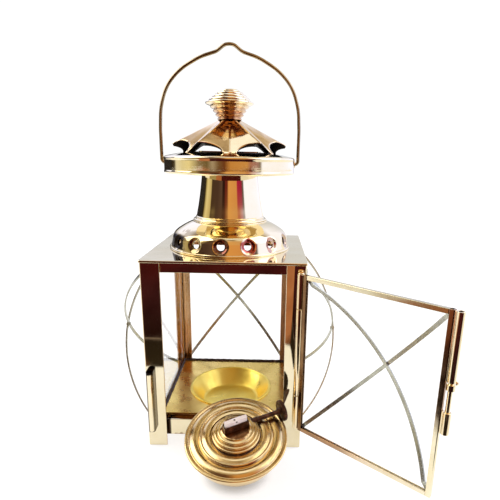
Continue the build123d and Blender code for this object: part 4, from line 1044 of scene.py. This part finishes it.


# dark mottled material for the beads that stand in for shade in the gap
def gap_shade_material():
    m, t, p = new_mat("pane_gap_shade")
    tc = t.nodes.new("ShaderNodeTexCoord")
    obj = tc.outputs["Object"]
    a = noise(t, obj, 300.0, 4.0, 0.6)
    t.links.new(ramp(t, a, [(0.35, (0.022, 0.010, 0.006)), (0.6, (0.060, 0.026, 0.014)), (0.75, (0.13, 0.06, 0.03))]), p.inputs["Base Color"])
    t.links.new(ranged(t, a, 0.35, 0.7), p.inputs["Roughness"])
    t.links.new(bump(t, a, 0.0001), p.inputs["Normal"])
    return m


M_GAP_SHADE = gap_shade_material()
bead("gap_shade_left", (-43.68, -38.9, 17.8), (-43.68, 43.6, 17.8), (1, 0, 0))
bead("gap_shade_right", (43.68, -38.9, 17.8), (43.68, 43.6, 17.8), (-1, 0, 0))
bead("gap_shade_rear", (-41.9, 43.68, 17.8), (41.9, 43.68, 17.8), (0, -1, 0))

# ------------------------------------------------------------------ floor, light and camera
def stage_plane(name, x0, x1, y0, y1, z):
    me = bpy.data.meshes.new(name)
    me.from_pydata([(x0, y0, z), (x1, y0, z), (x1, y1, z), (x0, y1, z)], [], [(0, 1, 2, 3)])
    ob = bpy.data.objects.new(name, me)
    scene.collection.objects.link(ob)
    return ob


floor = stage_plane("floor", -6, 6, -6, 6, 0.0)
m = bpy.data.materials.new("floor_paper")
m.use_nodes = True
t = m.node_tree
t.nodes.clear()
o = t.nodes.new("ShaderNodeOutputMaterial")
add = t.nodes.new("ShaderNodeAddShader")
dif = t.nodes.new("ShaderNodeBsdfDiffuse")
dif.inputs["Color"].default_value = (0.34, 0.345, 0.35, 1)
emi = t.nodes.new("ShaderNodeEmission")
emi.inputs["Color"].default_value = (1.0, 1.0, 1.0, 1)
# painted contact shadow: the floor's glow is dimmed by ambient occlusion close to the lantern
near = t.nodes.new("ShaderNodeAmbientOcclusion")
near.samples = 8
near.inputs["Distance"].default_value = 0.008
t.links.new(ranged(t, near.outputs["AO"], 0.30, 0.82, 0.10, 0.70, True), emi.inputs["Strength"])
t.links.new(dif.outputs[0], add.inputs[0])
t.links.new(emi.outputs[0], add.inputs[1])
t.links.new(add.outputs[0], o.inputs["Surface"])
floor.data.materials.append(m)

# low dark flag behind to the left, seen only in reflections
arc = [math.radians(-179.0 + 67.0 * k / 40) for k in range(41)]
me = bpy.data.meshes.new("studio_flag")
me.from_pydata([(1.5 * math.sin(a), -1.5 * math.cos(a), z) for a in arc for z in (0.004, 0.34)], [],
               [(2 * k, 2 * k + 1, 2 * k + 3, 2 * k + 2) for k in range(40)])
flag = bpy.data.objects.new("studio_flag", me)
bpy.context.scene.collection.objects.link(flag)
flag.visible_camera = flag.visible_diffuse = flag.visible_transmission = flag.visible_shadow = False
m = bpy.data.materials.new("studio_flag")
m.use_nodes = True
m.node_tree.nodes["Principled BSDF"].inputs["Base Color"].default_value = (0.010, 0.008, 0.006, 1)
m.node_tree.nodes["Principled BSDF"].inputs["Roughness"].default_value = 0.9
me.materials.append(m)

# dark rug of the studio in front of the paper, seen only in reflections
rug = stage_plane("studio_rug", -5.0, 5.0, -5.9, -0.164, 0.0006)
rug.visible_camera = rug.visible_diffuse = rug.visible_transmission = rug.visible_shadow = False
m = bpy.data.materials.new("studio_rug")
m.use_nodes = True
t = m.node_tree
t.nodes.clear()
o = t.nodes.new("ShaderNodeOutputMaterial")
emi = t.nodes.new("ShaderNodeEmission")
tc = t.nodes.new("ShaderNodeTexCoord")
sp = t.nodes.new("ShaderNodeSeparateXYZ")
t.links.new(tc.outputs["Object"], sp.inputs[0])
far = ranged(t, sp.outputs[1], 0.0, 1.0, -0.159, -0.75)
mix = noise(t, tc.outputs["Object"], 11.0, 3.0, 0.6, stretch=(1.0, 0.35, 1.0))
base = ramp(t, far, [
    (0.0, (0.032, 0.021, 0.010)), (0.112, (0.024, 0.015, 0.008)), (0.115, (0.40, 0.30, 0.25)), (0.120, (0.40, 0.30, 0.25)),
    (0.123, (0.026, 0.008, 0.006)), (0.20, (0.028, 0.008, 0.007)), (0.38, (0.055, 0.012, 0.014)), (0.65, (0.072, 0.008, 0.008)),
    (1.0, (0.080, 0.012, 0.012))])
dark = ramp(t, far, [(0.0, (0.024, 0.015, 0.007)), (0.083, (0.026, 0.017, 0.010)), (0.12, (0.012, 0.004, 0.003)), (0.38, (0.034, 0.007, 0.008)),
                     (1.0, (0.060, 0.006, 0.006))])
mat_col = blend_colour(t, ranged(t, mix, 0, 1, 0.42, 0.60), base, dark)
out_y = maths(t, "ADD", sp.outputs[1], 0.05)
left = maths(t, "SUBTRACT", 0.0, sp.outputs[0])


def wedge(side, slope, shift, soft=0.012):
    """1 where the mat lies further aside than slope times its distance in front."""
    return ranged(t, maths(t, "ADD", side, maths(t, "MULTIPLY", out_y, slope)), 0.0, 1.0, shift - soft, shift + soft, True)


copper = blend_colour(t, ranged(t, mix, 0, 1, 0.35, 0.65), (0.55, 0.22, 0.10), (0.39, 0.125, 0.05))
paper = (0.96, 0.96, 0.98)
seen = blend_colour(t, wedge(left, 0.55, 0.024), mat_col, copper)
away = t.nodes.new("ShaderNodeVectorMath")
away.operation = "LENGTH"
t.links.new(tc.outputs["Object"], away.inputs[0])
beyond = blend_colour(t, ranged(t, away.outputs["Value"], 0.0, 1.0, 0.5, 0.7, True), paper, (0.42, 0.35, 0.17))
seen = blend_colour(t, wedge(left, 1.35, 0.0), seen, beyond)
seen = blend_colour(t, wedge(sp.outputs[0], 1.2, 0.0), seen, paper)
t.links.new(seen, emi.inputs["Color"])
t.links.new(emi.outputs[0], o.inputs["Surface"])
rug.data.materials.append(m)

# world: pale studio behind and above, a warm room on the camera's side
w = bpy.data.worlds.new("studio")
scene.world = w
w.use_nodes = True
t = w.node_tree
t.nodes.clear()
o = t.nodes.new("ShaderNodeOutputWorld")
bg = t.nodes.new("ShaderNodeBackground")
tc = t.nodes.new("ShaderNodeTexCoord")
sp = t.nodes.new("ShaderNodeSeparateXYZ")
t.links.new(tc.outputs["Generated"], sp.inputs[0])
az = maths(t, "ARCTAN2", sp.outputs[0], maths(t, "MULTIPLY", sp.outputs[1], -1.0))
turn = ranged(t, az, 0.0, 1.0, -math.pi, math.pi)


def at(deg):
    return (deg + 180.0) / 360.0


white, dim = (1.15, 1.22, 1.70), (0.73, 0.75, 0.82)
room = ramp(t, turn, [
    (at(-180), dim), (at(-150), dim), (at(-130), white), (at(-117), white),
    (at(-114), (0.030, 0.022, 0.014)), (at(-104), (0.045, 0.032, 0.018)), (at(-99), (0.50, 0.41, 0.18)), (at(-91), (0.84, 0.72, 0.40)),
    (at(-73), (0.62, 0.50, 0.24)), (at(-69), (0.075, 0.042, 0.024)), (at(-42), (0.078, 0.042, 0.030)), (at(-27), (0.11, 0.065, 0.048)), (at(-22), (0.028, 0.010, 0.008)), (at(-16), (0.028, 0.010, 0.008)),
    (at(-13), (0.16, 0.022, 0.014)), (at(-5), (0.16, 0.024, 0.014)), (at(-1), (0.78, 0.36, 0.11)), (at(30), (0.72, 0.32, 0.10)),
    (at(33), (0.45, 0.018, 0.07)), (at(50), (0.36, 0.02, 0.06)), (at(54), (0.12, 0.09, 0.08)), (at(58), (0.22, 0.18, 0.16)),
    (at(61), white), (at(150), white), (at(170), dim), (at(180), dim)])
upper = ramp(t, turn, [
    (at(-180), dim), (at(-160), white), (at(-112), white), (at(-96), (0.30, 0.24, 0.12)), (at(-82), (0.70, 0.60, 0.32)), (at(-60), (0.55, 0.42, 0.18)),
    (at(-48), (0.10, 0.06, 0.04)), (at(-14), (0.16, 0.07, 0.035)), (at(0), (0.80, 0.42, 0.14)), (at(38), (0.66, 0.36, 0.16)),
    (at(62), white), (at(150), white), (at(170), dim), (at(180), dim)])
skyline = ramp(t, turn, [
    (at(-180), dim), (at(-150), dim), (at(-130), white), (at(-117), white), (at(-114), (0.030, 0.022, 0.014)), (at(-104), (0.060, 0.045, 0.025)), (at(-98), (0.86, 0.82, 0.66)),
    (at(-84), (0.82, 0.74, 0.48)),
    (at(-68), (0.90, 0.80, 0.46)), (at(-48), (0.27, 0.20, 0.11)), (at(-34), (0.17, 0.12, 0.05)), (at(-24), (0.42, 0.33, 0.24)),
    (at(-14), (0.20, 0.11, 0.05)), (at(-4), (0.17, 0.05, 0.015)), (at(6), (0.60, 0.27, 0.07)), (at(34), (0.68, 0.34, 0.11)),
    (at(40), (0.46, 0.20, 0.15)), (at(52), (0.42, 0.23, 0.24)), (at(58), (0.26, 0.20, 0.17)), (at(62), white), (at(150), white),
    (at(170), dim), (at(180), dim)])
room = blend_colour(t, ranged(t, sp.outputs[2], 0.0, 1.0, 0.015, 0.06, True), skyline, room)
low = ranged(t, sp.outputs[2], 0.0, 1.0, 0.16, 0.34, True)
cloud = noise(t, tc.outputs["Generated"], 2.6, 2.0, 0.5)
ceiling = ramp(t, cloud, [(0.38, (0.34, 0.25, 0.15)), (0.50, (0.62, 0.50, 0.34)), (0.60, (0.98, 0.90, 0.74)), (0.70, (1.25, 1.24, 1.30))])
ahead = ranged(t, sp.outputs[1], 0.17, 0.0, -0.40, -0.05, True)
height = ranged(t, maths(t, "SUBTRACT", sp.outputs[2], ahead), 0.0, 1.0, 0.62, 0.80, True)
zenith = ranged(t, sp.outputs[2], 0.0, 1.0, 0.955, 0.98, True)


def panel(turned, up, wide):
    """1 inside a round soft light panel in the direction (azimuth from -Y towards +X, elevation)."""
    a, e = math.radians(turned), math.radians(up)
    d = t.nodes.new("ShaderNodeVectorMath")
    d.operation = "DOT_PRODUCT"
    d.inputs[1].default_value = (math.sin(a) * math.cos(e), -math.cos(a) * math.cos(e), math.sin(e))
    t.links.new(tc.outputs["Generated"], d.inputs[0])
    return ranged(t, d.outputs["Value"], 0.0, 1.0, math.cos(math.radians(wide)), math.cos(math.radians(wide * 0.6)), True)


panels = maths(t, "MAXIMUM", panel(-122.0, 65.0, 13.0), panel(118.0, 57.0, 8.0))
zenith = maths(t, "MAXIMUM", zenith, panels)
col = blend_colour(t, height, blend_colour(t, low, room, upper), blend_colour(t, zenith, ceiling, (1.25, 1.30, 1.45)))
path = t.nodes.new("ShaderNodeLightPath")
col = blend_colour(t, path.outputs["Is Camera Ray"], col, (1.05, 1.05, 1.05))
t.links.new(col, bg.inputs["Color"])
bg.inputs["Strength"].default_value = 1.0
t.links.new(bg.outputs[0], o.inputs["Surface"])

for name, place_at, power in (("softbox_right", (0.75, -0.05, 0.85), 3.1), ("softbox_left", (-0.75, -0.05, 0.80), 5.7)):
    key = bpy.data.lights.new(name, "AREA")
    key.shape = "RECTANGLE"
    key.size, key.size_y = 0.7, 0.9
    key.energy = power
    key.color = (1.0, 0.98, 0.95)
    kob = bpy.data.objects.new(name, key)
    scene.collection.objects.link(kob)
    kob.location = place_at
    kob.rotation_euler = (Vector((0, -0.02, 0.08)) - kob.location).to_track_quat("-Z", "Y").to_euler()

YAW, PITCH, ROLL = math.radians(0.0925), math.radians(15.4365), math.radians(1.1274)
fwd = Vector((math.sin(YAW) * math.cos(PITCH), math.cos(YAW) * math.cos(PITCH), -math.sin(PITCH)))
right = Vector((math.cos(YAW), -math.sin(YAW), 0))
upv = right.cross(fwd)
r2 = right * math.cos(ROLL) + upv * math.sin(ROLL)
u2 = right * -math.sin(ROLL) + upv * math.cos(ROLL)
cam = bpy.data.cameras.new("camera")
cam.sensor_width = 36.0
cam.lens = 32.2355
cam.shift_x, cam.shift_y = -0.03995, 0.06427
cam.clip_start = 0.01
cob = bpy.data.objects.new("camera", cam)
scene.collection.objects.link(cob)
mw = Matrix.Identity(4)
for i in range(3):
    mw[i][0], mw[i][1], mw[i][2] = r2[i], u2[i], -fwd[i]
mw[0][3], mw[1][3], mw[2][3] = 0.02776, -0.30872, 0.18546
cob.matrix_world = mw
scene.camera = cob
scene.view_settings.view_transform = "Standard"
